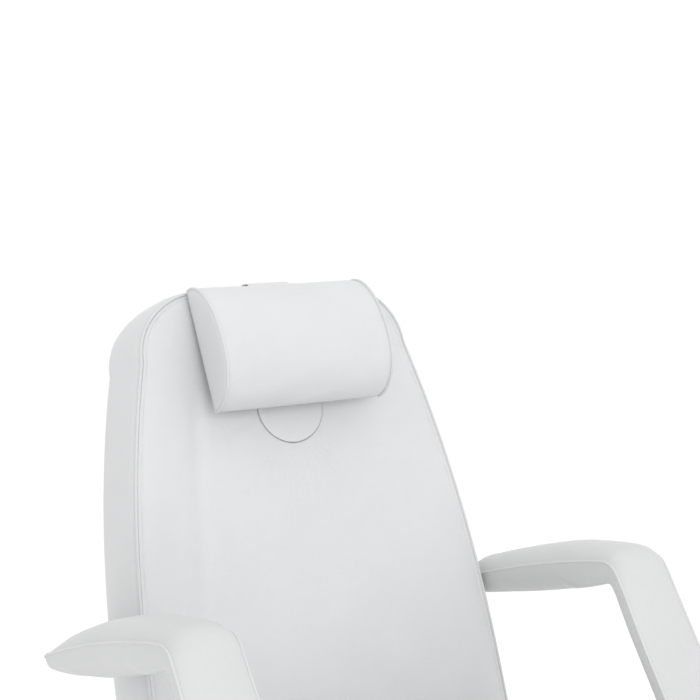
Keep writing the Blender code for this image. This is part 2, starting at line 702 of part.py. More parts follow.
def crossbar(name, group, centre, lug):
    """Beam between two bars, with a fork for the strut's near pin. centre and lug are (y, z)."""
    y, z = centre
    low = (-span, y - beam / 2, z - beam / 2)
    high = (span, y + beam / 2, z + beam / 2)
    piece = add(name, box(low, high, 0.002), group, PAINT)
    lean = math.degrees(math.atan2(lug[1] - z, lug[0] - y))
    outline = circle(lug, LUG_RADIUS, 11, lean - 90, 180) + circle(centre, beam * 0.42, 7, lean + 90, 180)
    hole = circle(lug, STRUT_PIN + GAP, 12)
    for side in (-1, 1):
        ends = sorted((side * lug_gap, side * lug_out))
        ear = add(f"{name}_ear_tool_{side}", plate(outline, *ends, [hole]), group, PAINT)
        boolean(piece, ear, "UNION")
    ends = (-lug_out - GAP, lug_out + GAP)
    bolt = pin(ends, STRUT_PIN, 0.003, STRUT_PIN + 0.003, None, 12)
    add(name.replace("crossbar", "strut_pin"), pushed(bolt, Matrix.Translation((0, *lug))), group, STEEL, 30)
    return piece


back_beam = crossbar("back_crossbar", back, (lug_y, BACK_CROSSBAR_Z), back_lug)


def back_outline():
    """Tapered back with round shoulders and a flat top, counter-clockwise in (x, z)."""
    shoulder_z = BACK_TOP - BACK_CORNER_HEIGHT
    corner_x = BACK_SHOULDER_HALF - BACK_CORNER_WIDTH
    foot_x = BACK_HALF_WIDTH - BACK_FOOT_CORNER
    right = circle((foot_x, BACK_BOTTOM + BACK_FOOT_CORNER), BACK_FOOT_CORNER, 5, -90, 90)
    steps = 8
    for k in range(steps):
        z = BACK_TAPER_START + (shoulder_z - BACK_TAPER_START) * k / steps
        share = ((z - BACK_TAPER_START) / (shoulder_z - BACK_TAPER_START)) ** BACK_TAPER_POWER
        right.append((BACK_HALF_WIDTH - share * (BACK_HALF_WIDTH - BACK_SHOULDER_HALF), z))
    for k in range(8):
        a = math.radians(90 * k / 7)
        right.append((corner_x + BACK_CORNER_WIDTH * math.cos(a), shoulder_z + BACK_CORNER_HEIGHT * math.sin(a)))
    return right + [(-x, z) for x, z in reversed(right)]


def on_back(u, v, h):
    return (u, back_rear - h, v)


back_shape = back_outline()
back_board = add("back_board", board(back_shape, on_back), back, FACED_BOARD)
back_pad = upholstery(back_shape, BACK_DEPTH, BACK_CROWN, on_back)
back_cushion = add("back_cushion", back_pad, back, LEATHER, 50)


def along_y(bm, y, z):
    """A piece turned about Z laid with its axis along local Y, its own +Z towards the front."""
    return pushed(bm, Matrix.Translation((0, y, z)) @ Matrix.Rotation(math.radians(90), 4, "X"))


hole_length = BACK_DEPTH + 0.06
hole_tube = [(0, -hole_length), (FACE_HOLE_RADIUS, -hole_length), (FACE_HOLE_RADIUS, hole_length), (0, hole_length)]
face_hole = add("face_hole_tool", along_y(turned(hole_tube, 28), 0, FACE_HOLE_Z), back, LEATHER)
boolean(back_cushion, face_hole, "DIFFERENCE")
boolean(back_board, face_hole, "DIFFERENCE")

# Plug of the face hole: a padded disc on a plywood base, drawn out to the rear
plug_datum = datum("plug_datum", back, (0, 0, FACE_HOLE_Z))
plug_radius = FACE_HOLE_RADIUS - GAP
plug_front = BACK_DEPTH + BACK_CROWN
plug_profile = [
    (0, BOARD_THICK + GAP),
    (plug_radius, BOARD_THICK + GAP),
    (plug_radius, plug_front - 0.006),
    (plug_radius - 0.003, plug_front - 0.002),
    (plug_radius * 0.6, plug_front),
    (0, plug_front),
]
add("face_plug", along_y(turned(plug_profile, 28), back_rear, 0), plug_datum, LEATHER, 40)
disc = [(0, 0), (plug_radius, 0), (plug_radius, BOARD_THICK), (0, BOARD_THICK)]
add("face_plug_base", along_y(turned(disc, 28), back_rear, 0), plug_datum, FACED_BOARD, 40)

# Head pillow: half-round bolster with drawn-in ends, hung on a strap over the top
pillow_datum = datum("pillow_datum", back)
pillow_mid = PILLOW_TOP - PILLOW_HEIGHT / 2
hang = math.radians(PILLOW_TILT)


def pillow_ring(x, share):
    """D-shaped section, fuller below, its flat rear leaving the backrest towards its foot."""
    ring = []
    steps = 16
    for k in range(steps + 1):
        lower = -math.cos(math.pi * k / steps)
        bulge = math.sqrt(max(0.0, 1 - abs(lower) ** PILLOW_ROUNDNESS)) * (1 + PILLOW_LOW_FULLNESS * lower)
        along = PILLOW_HEIGHT / 2 * (1 + lower * share)
        out = PILLOW_DEPTH * (0.42 + (bulge - 0.42) * share)
        h = PILLOW_STANDOFF + along * math.sin(hang) + out * math.cos(hang)
        ring.append((x, -BACK_FRONT - h, PILLOW_TOP - along * math.cos(hang) + out * math.sin(hang)))
    return ring


cap_end = PILLOW_HALF_LENGTH
levels = [(cap_end, 0.45), (cap_end - PILLOW_CAP * 0.4, 0.85), (cap_end - PILLOW_CAP, 0.955)]
levels += [(cap_end - PILLOW_CAP - 0.012, 0.985), (cap_end * 0.62, 1.0), (0.0, 1.0)]
levels += [(-x, share) for x, share in reversed(levels[:-1])]
add("head_pillow", loft([pillow_ring(x, share) for x, share in levels]), pillow_datum, LEATHER, 50)

strap_front = -BACK_FRONT - BACK_CROWN - GAP
strap_rear = back_rear + GAP
strap_top = BACK_TOP + GAP
turn = SIDE_BULGE + SEAM_DRAW
inner = [
    (strap_front, pillow_mid),
    (strap_front, strap_top - turn),
    (strap_front + turn * 1.6, strap_top),
    (strap_rear - turn, strap_top),
    (strap_rear, strap_top - turn),
    (strap_rear, STRAP_REAR_END),
]
outer = [
    (strap_rear + STRAP_THICK, STRAP_REAR_END),
    (strap_rear + STRAP_THICK, strap_top - turn * 0.7),
    (strap_rear - turn * 0.7, strap_top + STRAP_THICK),
    (strap_front + turn * 1.4, strap_top + STRAP_THICK),
    (strap_front - STRAP_THICK, strap_top - turn * 0.8),
    (strap_front - STRAP_THICK, pillow_mid),
]
add("pillow_strap", plate(inner + outer, -STRAP_WIDTH / 2, STRAP_WIDTH / 2), pillow_datum, STRAP)

# Leg rest on its own bars, with crossbar and strut fork
leg_bar_high = LEG_SEAT_LEVEL - GAP
leg_outline = circle((0, 0), BAR_EYE, 13, -90, 170)
leg_outline += [
    (-LEG_START * 0.5, leg_bar_high),
    (-LEG_BAR_END, leg_bar_high),
    (-LEG_BAR_END, leg_bar_high - 0.016),
    (-LEG_BAR_END * 0.5, leg_bar_high - BAR_DEPTH),
    (-LEG_START, -BAR_EYE * 0.8),
]
for side, name in ((-1, "left"), (1, "right")):
    ends = sorted((side * bar_in, side * bar_out))
    add("leg_bar_" + name, plate(leg_outline, *ends, [circle((0, 0), pin_hole)]), leg, PAINT)
leg_beam_z = leg_bar_high - beam / 2 - 0.002
leg_beam = crossbar("leg_crossbar", leg, (LEG_CROSSBAR_Y, leg_beam_z), leg_lug)


def on_leg(u, v, h):
    return (u, v, LEG_SEAT_LEVEL + h)


leg_shape = rounded(LEG_HALF_WIDTH, -LEG_START - LEG_LENGTH, -LEG_START, LEG_CORNER)
add("leg_board", board(leg_shape, on_leg), leg, PLYWOOD)
add("leg_cushion", upholstery(leg_shape, LEG_THICK, LEG_CROWN, on_leg), leg, LEATHER, 50)

# Armrests: padded sevens on a bent flat bar, swivelling on a round post in a clamped socket
lean = math.radians(ARM_LIMB_LEAN)
down = (-math.sin(lean), -math.cos(lean))
behind = (math.cos(lean), -math.sin(lean))
arm_under_z = ARM_TOP_Z - ARM_ELBOW_DEPTH


def arm_top(y):
    d = y - ARM_ELBOW_Y
    return ARM_TOP_Z - ARM_SLOPE * d - ARM_SAG * d * d


def arm_under(y):
    d = y - ARM_ELBOW_Y
    return arm_under_z - ARM_UNDER_SLOPE * d + ARM_UNDER_SAG * d * d


def limb_point(z, depth):
    """Point of the front limb at height z, depth behind its front face."""
    start_y = ARM_ELBOW_Y + depth * behind[0]
    start_z = ARM_TOP_Z + depth * behind[1]
    t = (z - start_z) / down[1]
    return (start_y + t * down[0], z)


def arm_profile():
    """Side outline in world (y, z), with the crown's push for each point."""
    rim = []
    limb_push = (-behind[0] * 0.006, -behind[1] * 0.006)
    for share in (0.0, 0.35, 0.7):
        z = ARM_LIMB_END_Z + share * (ARM_TOP_Z - 0.03 - ARM_LIMB_END_Z)
        rim.append((limb_point(z, 0), limb_push))
    rim.append((limb_point(ARM_TOP_Z - 0.030, 0), limb_push))
    rim.append((limb_point(ARM_TOP_Z - 0.011, 0.0015), (-0.004, 0.004)))
    rim.append(((ARM_ELBOW_Y + 0.009, ARM_TOP_Z - 0.0035), (-0.002, 0.006)))
    steps = 9
    first = ARM_ELBOW_Y + 0.028
    for k in range(steps + 1):
        y = first + (ARM_TIP_Y - first) * k / steps
        growth = min(1.0, ARM_CROWN_GROWTH * k / steps)
        rise = ARM_CROWN * (ARM_CROWN_START + (1 - ARM_CROWN_START) * growth)
        rise *= 1.0 if k < steps else 0.25
        rim.append(((y, arm_top(y)), (0, rise)))
    rim.append(((ARM_TIP_Y - 0.004, arm_top(ARM_TIP_Y) - 0.006), (0, 0)))
    last = ARM_TIP_Y - ARM_TIP_CUT
    turn_z = arm_under(limb_point(arm_under_z, ARM_LIMB_THICK)[0])
    stop = limb_point(turn_z, ARM_LIMB_THICK)[0] + 0.004
    for k in range(steps + 1):
        y = last + (stop - last) * k / steps
        rim.append(((y, arm_under(y)), (0, 0)))
    for share in (0.92, 0.6, 0.3, 0.0):
        z = ARM_LIMB_END_Z + share * (turn_z - ARM_LIMB_END_Z)
        rim.append((limb_point(z, ARM_LIMB_THICK), (0, 0)))
    return rim


def bar_strip(half, far_end):
    """Outline of the bent flat bar along the middle of the pad, half its thickness each side."""
    mid = ARM_LIMB_THICK / 2
    elbow_z = (ARM_TOP_Z + arm_under_z) / 2
    path = [limb_point(post_world.z, mid), limb_point(elbow_z - 0.012, mid)]
    bend = limb_point(elbow_z, mid)[0] + 0.012
    for k in range(6):
        y = bend + (far_end - bend) * k / 5
        path.append((y, (arm_top(y) + arm_under(y)) / 2))
    sides = ([], [])
    for k, (y, z) in enumerate(path):
        a = path[max(k - 1, 0)]
        b = path[min(k + 1, len(path) - 1)]
        run = math.hypot(b[0] - a[0], b[1] - a[1])
        ny, nz = -(b[1] - a[1]) / run, (b[0] - a[0]) / run
        sides[0].append((y + half * ny, z + half * nz))
        sides[1].append((y - half * ny, z - half * nz))
    return sides[0] + sides[1][::-1]


arm_mid = ARM_INNER + ARM_WIDTH / 2
to_seat = seat.matrix_world.inverted()
limb_high, limb_low = [to_seat @ Vector((0, *limb_point(z, ARM_LIMB_THICK / 2))) for z in (ARM_TOP_Z, 0)]
weld_z = POST_TOP - 0.018
weld_share = (weld_z - limb_high.z) / (limb_low.z - limb_high.z)
post_y = limb_high.lerp(limb_low, weld_share).y + POST_BEHIND_BAR
post_world = seat.matrix_world @ Vector((0, post_y, weld_z))
crown_shape = [(0.0, 0.004, 0.0), (0.0025, 0.001, 0.06), (0.009, 0.0, 0.5)]
crown_shape += [(0.020, 0.0, 0.80), (0.034, 0.0, 0.96), (ARM_WIDTH / 2, 0.0, 1.0)]
socket_in = POST_RADIUS + GAP
socket_out = socket_in + SOCKET_WALL

for side, name in ((-1, "left"), (1, "right")):
    home = seat.matrix_world @ Vector((side * arm_mid, post_y, 0))
    arm = datum("arm_datum_" + name, swivel, home, -SEAT_TILT)
    to_arm = arm.matrix_world.inverted() @ Matrix.Translation((side * arm_mid, 0, 0))
    rim = arm_profile()
    line = [spot for spot, push in rim]
    stations = [(-ARM_WIDTH / 2 + x, draw, share) for x, draw, share in crown_shape]
    stations += [(-x, draw, share) for x, draw, share in reversed(stations[:-1])]
    rings = []
    for x, draw, share in stations:
        drawn = inset(line, -draw)
        rings.append([(x, y + share * p[0], z + share * p[1]) for (y, z), (spot, p) in zip(drawn, rim)])
    pad = add("armrest_pad_" + name, pushed(loft(rings), to_arm), arm, LEATHER, 50)
    half = ARM_BAR_WIDTH / 2
    pocket = plate(bar_strip(ARM_BAR_THICK / 2 + GAP, ARM_BAR_REACH + GAP), -half - GAP, half + GAP)
    boolean(pad, add("arm_pocket_tool_" + name, pushed(pocket, to_arm), arm, LEATHER), "DIFFERENCE")
    strip = plate(bar_strip(ARM_BAR_THICK / 2, ARM_BAR_REACH), -half, half)
    bar = add("armrest_bar_" + name, pushed(strip, to_arm), arm, STEEL)
    post = [(0, POST_BOTTOM), (POST_RADIUS, POST_BOTTOM), (POST_RADIUS, POST_TOP), (0, POST_TOP)]
    boolean(bar, add("arm_post_tool_" + name, turned(post, 24), arm, STEEL), "UNION")

    # Socket on the rail, and the clamp knob in front of it
    ring = [
        (socket_in, SOCKET_BOTTOM),
        (socket_out, SOCKET_BOTTOM),
        (socket_out, SOCKET_TOP),
        (socket_in, SOCKET_TOP),
    ]
    socket = turned(ring, 24)
    bmesh.ops.translate(socket, verts=socket.verts, vec=(side * arm_mid, post_y, 0))
    socket_piece = add("arm_socket_" + name, socket, seat, PAINT, 30)
    reach = sorted((side * (rail_out + GAP), side * (arm_mid - socket_in - 0.003)))
    low = (reach[0], post_y - 0.016, rail_low)
    high = (reach[1], post_y + 0.016, rail_high - 0.004)
    stub = add("arm_stub_tool_" + name, box(low, high, 0.002), seat, PAINT)
    boolean(socket_piece, stub, "UNION")
    knob_home = Vector((side * arm_mid, post_y, (SOCKET_TOP + SOCKET_BOTTOM) / 2))
    knob_datum = datum("knob_datum_" + name, seat, knob_home)
    screw = STRUT_PIN
    grip_start = socket_out + 0.004
    knob = [
        (0, socket_in + 0.001),
        (screw, socket_in + 0.001),
        (screw, grip_start),
        (KNOB_RADIUS * 0.6, grip_start),
        (KNOB_RADIUS, grip_start + 0.006),
        (KNOB_RADIUS, grip_start + KNOB_LENGTH - 0.005),
        (KNOB_RADIUS * 0.8, grip_start + KNOB_LENGTH),
        (0, grip_start + KNOB_LENGTH),
    ]
    add("arm_knob_" + name, along_y(turned(knob, 20), 0, 0), knob_datum, PLASTIC, 30)
    thread = [(0, 0), (screw + GAP, 0), (screw + GAP, socket_out + 0.02), (0, socket_out + 0.02)]
    thread_tool = add("knob_hole_tool_" + name, along_y(turned(thread, 20), 0, 0), knob_datum, PAINT)
    boolean(socket_piece, thread_tool, "DIFFERENCE")


def release(name, group, beam_piece, pivot, lean_by, ear_away):
    """Strut release lever with a rubber grip, on two ears welded to a crossbar."""
    y, z = pivot
    half = LEVER_THICK / 2
    ear_in = half + GAP
    eye = LEVER_AXLE + 0.006
    lever_x = lug_out + 0.030
    for side in (-1, 1):
        ends = sorted((lever_x + side * ear_in, lever_x + side * (ear_in + 0.005)))
        run = math.degrees(math.atan2(ear_away[1] - z, ear_away[0] - y))
        outline = circle(pivot, eye, 9, run + 90, 180) + circle(ear_away, eye, 7, run - 90, 180)
        hole = circle(pivot, LEVER_AXLE + GAP, 12)
        boolean(beam_piece, add(f"{name}_ear_tool_{side}", plate(outline, *ends, [hole]), group, PAINT), "UNION")
    lever_datum = datum(name + "_datum", group, (lever_x, y, z), lean_by)
    outline = circle((0, 0), eye, 13, -45, 270) + [(-0.008, -LEVER_REACH), (0.008, -LEVER_REACH)]
    lever = add(name, plate(outline, -half, half), lever_datum, STEEL)
    axle_half = ear_in + 0.005 + 0.003
    axle = [(0, -axle_half), (LEVER_AXLE, -axle_half), (LEVER_AXLE, axle_half), (0, axle_half)]
    axle_mesh = pushed(turned(axle, 12), Matrix.Rotation(math.radians(90), 4, "Y"))
    boolean(lever, add(name + "_axle_tool", axle_mesh, lever_datum, STEEL), "UNION")
    low = (-half - 0.005, -0.014, -LEVER_REACH - 0.006)
    high = (half + 0.005, 0.014, -LEVER_REACH + GRIP_LENGTH)
    grip = add(name + "_grip", box(low, high, 0.004), lever_datum, RUBBER)
    low = (-half - GAP, -0.010, -LEVER_REACH - GAP)
    high = (half + GAP, 0.010, -LEVER_REACH + GRIP_LENGTH + 0.01)
    boolean(grip, add(name + "_grip_tool", box(low, high), lever_datum, RUBBER), "DIFFERENCE")


release(
    "back_release_lever",
    back,
    back_beam,
    (lug_y + beam / 2 + 0.014, BACK_CROSSBAR_Z),
    25.0,
    (lug_y, BACK_CROSSBAR_Z),
)
release(
    "leg_release_lever",
    leg,
    leg_beam,
    (LEG_CROSSBAR_Y, leg_beam_z - beam / 2 - 0.014),
    -60.0,
    (LEG_CROSSBAR_Y, leg_beam_z),
)
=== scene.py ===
"""Looks of the beauty treatment chair: white upholstery, steelwork, studio and camera."""

import json
import math

import bmesh
import bpy
from mathutils import Matrix, Vector


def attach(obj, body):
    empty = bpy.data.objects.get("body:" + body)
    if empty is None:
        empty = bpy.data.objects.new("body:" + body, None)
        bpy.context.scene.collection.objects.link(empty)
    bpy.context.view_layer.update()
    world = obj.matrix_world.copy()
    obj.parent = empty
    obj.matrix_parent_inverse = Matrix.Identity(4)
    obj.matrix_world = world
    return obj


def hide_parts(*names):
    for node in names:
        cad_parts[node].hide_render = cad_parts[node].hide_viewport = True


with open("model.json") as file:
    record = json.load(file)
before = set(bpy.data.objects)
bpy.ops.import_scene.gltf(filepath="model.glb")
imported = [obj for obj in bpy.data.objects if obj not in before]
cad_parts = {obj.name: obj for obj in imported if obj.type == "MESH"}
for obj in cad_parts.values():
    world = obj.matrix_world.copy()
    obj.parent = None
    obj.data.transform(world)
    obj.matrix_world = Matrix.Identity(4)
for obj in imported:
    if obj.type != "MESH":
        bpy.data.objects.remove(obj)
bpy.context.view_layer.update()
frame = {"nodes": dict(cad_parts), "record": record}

# Joint datums of the frame, as in the part's source
HINGE = Vector((0, 0.2514, 0.471))
SEAT = Matrix.Translation(HINGE) @ Matrix.Rotation(math.radians(-8.0), 4, "X")
BACK = Matrix.Translation(HINGE) @ Matrix.Rotation(math.radians(-18.6), 4, "X")
LEG_HINGE = SEAT @ Vector((0, -0.566, -0.006))
LEG = Matrix.Translation(LEG_HINGE) @ Matrix.Rotation(math.radians(58.0), 4, "X")


class Shade:
    """One node socket with Python arithmetic; each operation adds a Math node to the same tree."""

    def __init__(self, tree, socket):
        self.tree = tree
        self.socket = socket

    def make(self, kind, output=0, settings=None, **inputs):
        """Adds any node and returns one output. Inputs go by name, or by place as i0, i1 and on."""
        node = self.tree.nodes.new(kind)
        for name, value in (settings or {}).items():
            setattr(node, name, value)
        for name, value in inputs.items():
            by_place = name[0] == "i" and name[1:].isdigit()
            slot = node.inputs[int(name[1:]) if by_place else name]
            if isinstance(value, Shade):
                self.tree.links.new(value.socket, slot)
            else:
                slot.default_value = value
        return Shade(self.tree, node.outputs[output])

    def math(self, operation, *values):
        inputs = {f"i{k}": v for k, v in enumerate((self, *values))}
        return self.make("ShaderNodeMath", 0, {"operation": operation}, **inputs)

    def __add__(self, other):
        return self.math("ADD", other)

    def __mul__(self, other):
        return self.math("MULTIPLY", other)

    def __sub__(self, other):
        return self.math("SUBTRACT", other)

    def between(self, low, high):
        """Smooth step from 0 at low to 1 at high."""
        settings = {"interpolation_type": "SMOOTHSTEP"}
        limits = {"i1": low, "i2": high, "i3": 0.0, "i4": 1.0}
        return self.make("ShaderNodeMapRange", 0, settings, i0=self, **limits)

    def noise(self, scale, detail=2.0):
        return self.make("ShaderNodeTexNoise", 0, None, Vector=self, Scale=scale, Detail=detail)

    def cells(self, scale):
        return self.make("ShaderNodeTexVoronoi", 0, None, Vector=self, Scale=scale)

    def stretched(self, x, y, z):
        return self.make("ShaderNodeMapping", 0, None, Vector=self, Scale=(x, y, z))

    def axis(self, name):
        return self.make("ShaderNodeSeparateXYZ", "XYZ".index(name), None, i0=self)

    def wave(self, per_metre):
        """Ridge profile from 0 to 1 along this length."""
        return (self * (2 * math.pi * per_metre)).math("SINE") * 0.5 + 0.5

    def tint(self, dark, light):
        """Colour from dark at 0 to light at 1."""
        colours = {"i6": (*dark, 1.0), "i7": (*light, 1.0)}
        return self.make("ShaderNodeMix", 2, {"data_type": "RGBA"}, i0=self, **colours)


def finish_of(name, uniform):
    """New material with uniform Principled values set on its sockets.

    Returns the material, its shader and its object coordinates.
    """
    made = bpy.data.materials.new(name)
    made.use_nodes = True
    shader = made.node_tree.nodes["Principled BSDF"]
    for socket, value in uniform.items():
        shader.inputs[socket].default_value = value
    coordinates = made.node_tree.nodes.new("ShaderNodeTexCoord").outputs["Object"]
    return made, shader, Shade(made.node_tree, coordinates)


def wire(shader, tree, **inputs):
    """Links values to the shader's inputs; an underscore stands for a space."""
    for name, value in inputs.items():
        tree.links.new(value.socket, shader.inputs[name.replace("_", " ")])


def relief(height, strength, distance):
    """Bumped normal of a height; distance in metres."""
    sizes = {"Strength": strength, "Distance": distance}
    return height.make("ShaderNodeBump", 0, None, **sizes, Height=height)


def leatherette(name, dark, light, grain=0.35):
    """White synthetic leather: pebble grain, faint stretch creases, uneven satin sheen."""
    made, shader, at = finish_of(name, {"Specular IOR Level": 0.42, "Sheen Weight": 0.06})
    pebble = at.cells(620.0)
    pores = at.noise(1400.0, 1.0)
    patches = at.noise(7.0, 3.0)
    creases = at.stretched(1.0, 1.0, 3.2).noise(22.0, 4.0)
    height = pebble * 0.55 + pores * 0.25 + creases * 0.45
    tone = patches * 0.6 + pebble * 0.25 + creases * 0.15
    wire(
        shader,
        made.node_tree,
        Base_Color=tone.between(0.25, 0.75).tint(dark, light),
        Roughness=patches * 0.14 + pebble * 0.06 + 0.36,
        Normal=relief(height, grain, 0.0006),
    )
    return made


def webbing(name):
    """Woven strap: fine diagonal ribs with darker gaps."""
    made, shader, at = finish_of(name, {"Roughness": 0.75, "Specular IOR Level": 0.25})
    ribs = (at.axis("X") + at.axis("Z")).wave(420.0) * (at.axis("X") - at.axis("Z")).wave(420.0)
    fuzz = at.noise(900.0, 2.0)
    wire(
        shader,
        made.node_tree,
        Base_Color=(ribs * 0.7 + fuzz * 0.3).tint((0.62, 0.62, 0.62), (0.80, 0.80, 0.80)),
        Normal=relief(ribs + fuzz * 0.3, 0.5, 0.0006),
    )
    return made


def powder_coat():
    """White powder coat with orange peel and a little grime in patches."""
    made, shader, at = finish_of("white_powder_coat", {"Specular IOR Level": 0.5})
    peel = at.noise(260.0, 2.0)
    grime = at.noise(9.0, 4.0)
    wire(
        shader,
        made.node_tree,
        Base_Color=grime.between(0.2, 0.7).tint((0.66, 0.66, 0.67), (0.76, 0.76, 0.77)),
        Roughness=grime * 0.16 + 0.30,
        Normal=relief(peel, 0.18, 0.0005),
    )
    return made


def bare_metal(name, colour, roughness, streak):
    """Polished or ground steel: streaks along Z, smudges in the gloss."""
    made, shader, at = finish_of(name, {"Metallic": 1.0})
    lines = at.stretched(1.0, 1.0, 0.06).noise(600.0, 2.0)
    smudge = at.noise(14.0, 3.0)
    worn = tuple(c * 0.86 for c in colour)
    wire(
        shader,
        made.node_tree,
        Base_Color=(smudge * 0.7 + lines * 0.3).between(0.25, 0.75).tint(worn, colour),
        Roughness=smudge * 0.10 + lines * streak + roughness,
        Normal=relief(lines, streak, 0.0002),
    )
    return made


def moulded(name, dark, light, roughness, grain):
    """Rubber or plastic with a fine spark-eroded grain and paler scuffs."""
    made, shader, at = finish_of(name, {"Specular IOR Level": 0.4})
    spark = at.noise(900.0, 2.0)
    scuff = at.noise(24.0, 4.0)
    wire(
        shader,
        made.node_tree,
        Base_Color=scuff.between(0.45, 0.8).tint(dark, light),
        Roughness=scuff * 0.18 + roughness,
        Normal=relief(spark, grain, 0.0004),
    )
    return made


def plywood():
    """Birch plywood: long grain and fine fibres along X."""
    made, shader, at = finish_of("birch_plywood", {"Specular IOR Level": 0.3})
    grain = at.stretched(0.7, 9.0, 9.0).noise(16.0, 5.0)
    fibre = at.stretched(4.0, 60.0, 60.0).noise(14.0, 2.0)
    tone = (grain * 0.75 + fibre * 0.25).between(0.3, 0.7)
    wire(
        shader,
        made.node_tree,
        Base_Color=tone.tint((0.42, 0.29, 0.17), (0.66, 0.52, 0.35)),
        Roughness=fibre * 0.2 + 0.5,
        Normal=relief(grain + fibre, 0.25, 0.0004),
    )
    return made


LEATHER = leatherette("white_leatherette", (0.592, 0.595, 0.602), (0.632, 0.635, 0.642))
# Armrest leather: a darker copy of the white leather, painted shade standing in for the shade the
# arms fall in.
SHADED_ARM_LEATHER = leatherette("armrest_leatherette_painted_shade", (0.552, 0.554, 0.556), (0.590, 0.592, 0.594))
# Piping leather: a slightly darker copy of the white leather, painted shade along the piping.
SHADED_PIPING = leatherette("white_piping_painted_shade", (0.58, 0.582, 0.586), (0.62, 0.622, 0.626), 0.25)
THREAD = leatherette("white_thread", (0.60, 0.60, 0.605), (0.68, 0.68, 0.685), 0.15)
STRAP = webbing("white_webbing")
PAINT = powder_coat()
CHROME = bare_metal("chrome_plate", (0.80, 0.81, 0.83), 0.05, 0.05)
STEEL = bare_metal("ground_steel", (0.58, 0.58, 0.60), 0.24, 0.16)
RUBBER = moulded("black_rubber", (0.018, 0.018, 0.019), (0.06, 0.06, 0.062), 0.62, 0.5)
PLASTIC = moulded("black_plastic", (0.022, 0.022, 0.024), (0.05, 0.05, 0.053), 0.38, 0.3)
PLY = plywood()
FACING = leatherette("white_board_facing", (0.56, 0.56, 0.565), (0.60, 0.60, 0.605), 0.2)

SLOT_LOOKS = {
    "white_paint": PAINT,
    "chrome": CHROME,
    "bright_steel": STEEL,
    "black_rubber": RUBBER,
    "black_plastic": PLASTIC,
    "plywood": PLY,
    "white_webbing": STRAP,
    "white_upholstery": LEATHER,
    "white_board": FACING,
}
for part in frame["record"]["subparts"]:
    node = frame["nodes"][part["node"]]
    node.data.materials.clear()
    node.data.materials.append(SLOT_LOOKS[part["material_slot"]])


def circle(centre, radius, count, start=0.0, sweep=360.0):
    """Points round a centre, angles in degrees; a sweep of less than a turn has both its ends."""
    last = count if sweep == 360.0 else count - 1
    turns = [math.radians(start + sweep * k / last) for k in range(count)]
    return [(centre[0] + radius * math.cos(a), centre[1] + radius * math.sin(a)) for a in turns]


def inset(outline, by):
    """A closed counter-clockwise outline moved inwards."""
    count = len(outline)
    moved = []
    for k in range(count):
        x0, y0 = outline[k - 1]
        x1, y1 = outline[(k + 1) % count]
        length = math.hypot(x1 - x0, y1 - y0)
        x, y = outline[k]
        moved.append((x - by * (y1 - y0) / length, y + by * (x1 - x0) / length))
    return moved


def spaced(path, count):
    """Evenly spaced points along an open path, without its end."""
    steps = [math.dist(a, b) for a, b in zip(path, path[1:])]
    total = sum(steps)
    result = []
    index = 0
    passed = 0.0
    for k in range(count):
        target = total * k / count
        while passed + steps[index] < target:
            passed += steps[index]
            index += 1
        t = (target - passed) / steps[index]
        result.append(tuple(a + t * (b - a) for a, b in zip(path[index], path[index + 1])))
    return result


CORNER_POINTS = 13


def rounded(half_width, low, high, corner, run):
    """Rounded rectangle in four runs of points, each from the middle of one corner to the next."""
    spots = [
        (-half_width + corner, low + corner, 180),
        (half_width - corner, low + corner, 270),
        (half_width - corner, high - corner, 0),
        (-half_width + corner, high - corner, 90),
    ]
    arcs = [circle((x, y), corner, CORNER_POINTS, start, 90) for x, y, start in spots]
    middle = CORNER_POINTS // 2
    ring = []
    for arc, following in zip(arcs, arcs[1:] + arcs[:1]):
        ring += spaced(arc[middle:] + following[: middle + 1], run)
    return ring


def woven_patch(ring, run):
    """Grid of points that fills a ring of four runs."""
    south, east = ring[: run + 1], ring[run : 2 * run + 1]
    north = ring[2 * run : 3 * run + 1][::-1]
    west = (ring[3 * run :] + ring[:1])[::-1]
    grid = []
    for j in range(run + 1):
        t = j / run
        row = []
        for i in range(run + 1):
            s = i / run
            ends = [(1 - s) * (1 - t), s * (1 - t), (1 - s) * t, s * t]
            corners = [south[0], south[-1], north[0], north[-1]]
            point = []
            for axis in (0, 1):
                runs = (
                    (1 - t) * south[i][axis]
                    + t * north[i][axis]
                    + (1 - s) * west[j][axis]
                    + s * east[j][axis]
                )
                point.append(runs - sum(e * c[axis] for e, c in zip(ends, corners)))
            row.append(tuple(point))
        grid.append(row)
    return grid


def object_of(name, bm, look):
    """Smooth object of a bmesh, its faces turned outwards."""
    bmesh.ops.recalc_face_normals(bm, faces=bm.faces)
    if bm.calc_volume(signed=True) < 0:
        bmesh.ops.reverse_faces(bm, faces=bm.faces)
    mesh = bpy.data.meshes.new(name)
    bm.to_mesh(mesh)
    bm.free()
    mesh.shade_smooth()
    mesh.materials.append(look)
    piece = bpy.data.objects.new(name, mesh)
    bpy.context.collection.objects.link(piece)
    return piece


def stitch_rings(bm, rings, closed):
    """Adds rings of equal count to a mesh and joins each to the next. Returns their corners."""
    loops = [[bm.verts.new(p) for p in ring] for ring in rings]
    count = len(loops[0])
    pairs = list(zip(loops, loops[1:]))
    if closed:
        pairs.append((loops[-1], loops[0]))
    for one, two in pairs:
        for k in range(count):
            n = (k + 1) % count
            bm.faces.new((one[k], one[n], two[n], two[k]))
    return loops


def capped_rings(bm, rings):
    """Adds rings of equal count to a mesh, joined, with a face at each end."""
    loops = stitch_rings(bm, rings, False)
    bm.faces.new(loops[0])
    bm.faces.new(loops[-1])


def skin(name, rings, look, closed=False, ladder=False):
    """Smooth mesh through rings, closed round, or capped by one face or a ladder of faces."""
    bm = bmesh.new()
    loops = stitch_rings(bm, rings, closed)
    count = len(loops[0])
    for cap in () if closed else (loops[0], loops[-1]):
        if ladder:
            for k in range(count // 2 - 1):
                bm.faces.new((cap[k], cap[k + 1], cap[count - 2 - k], cap[count - 1 - k]))
        else:
            bm.faces.new(cap)
    return object_of(name, bm, look)


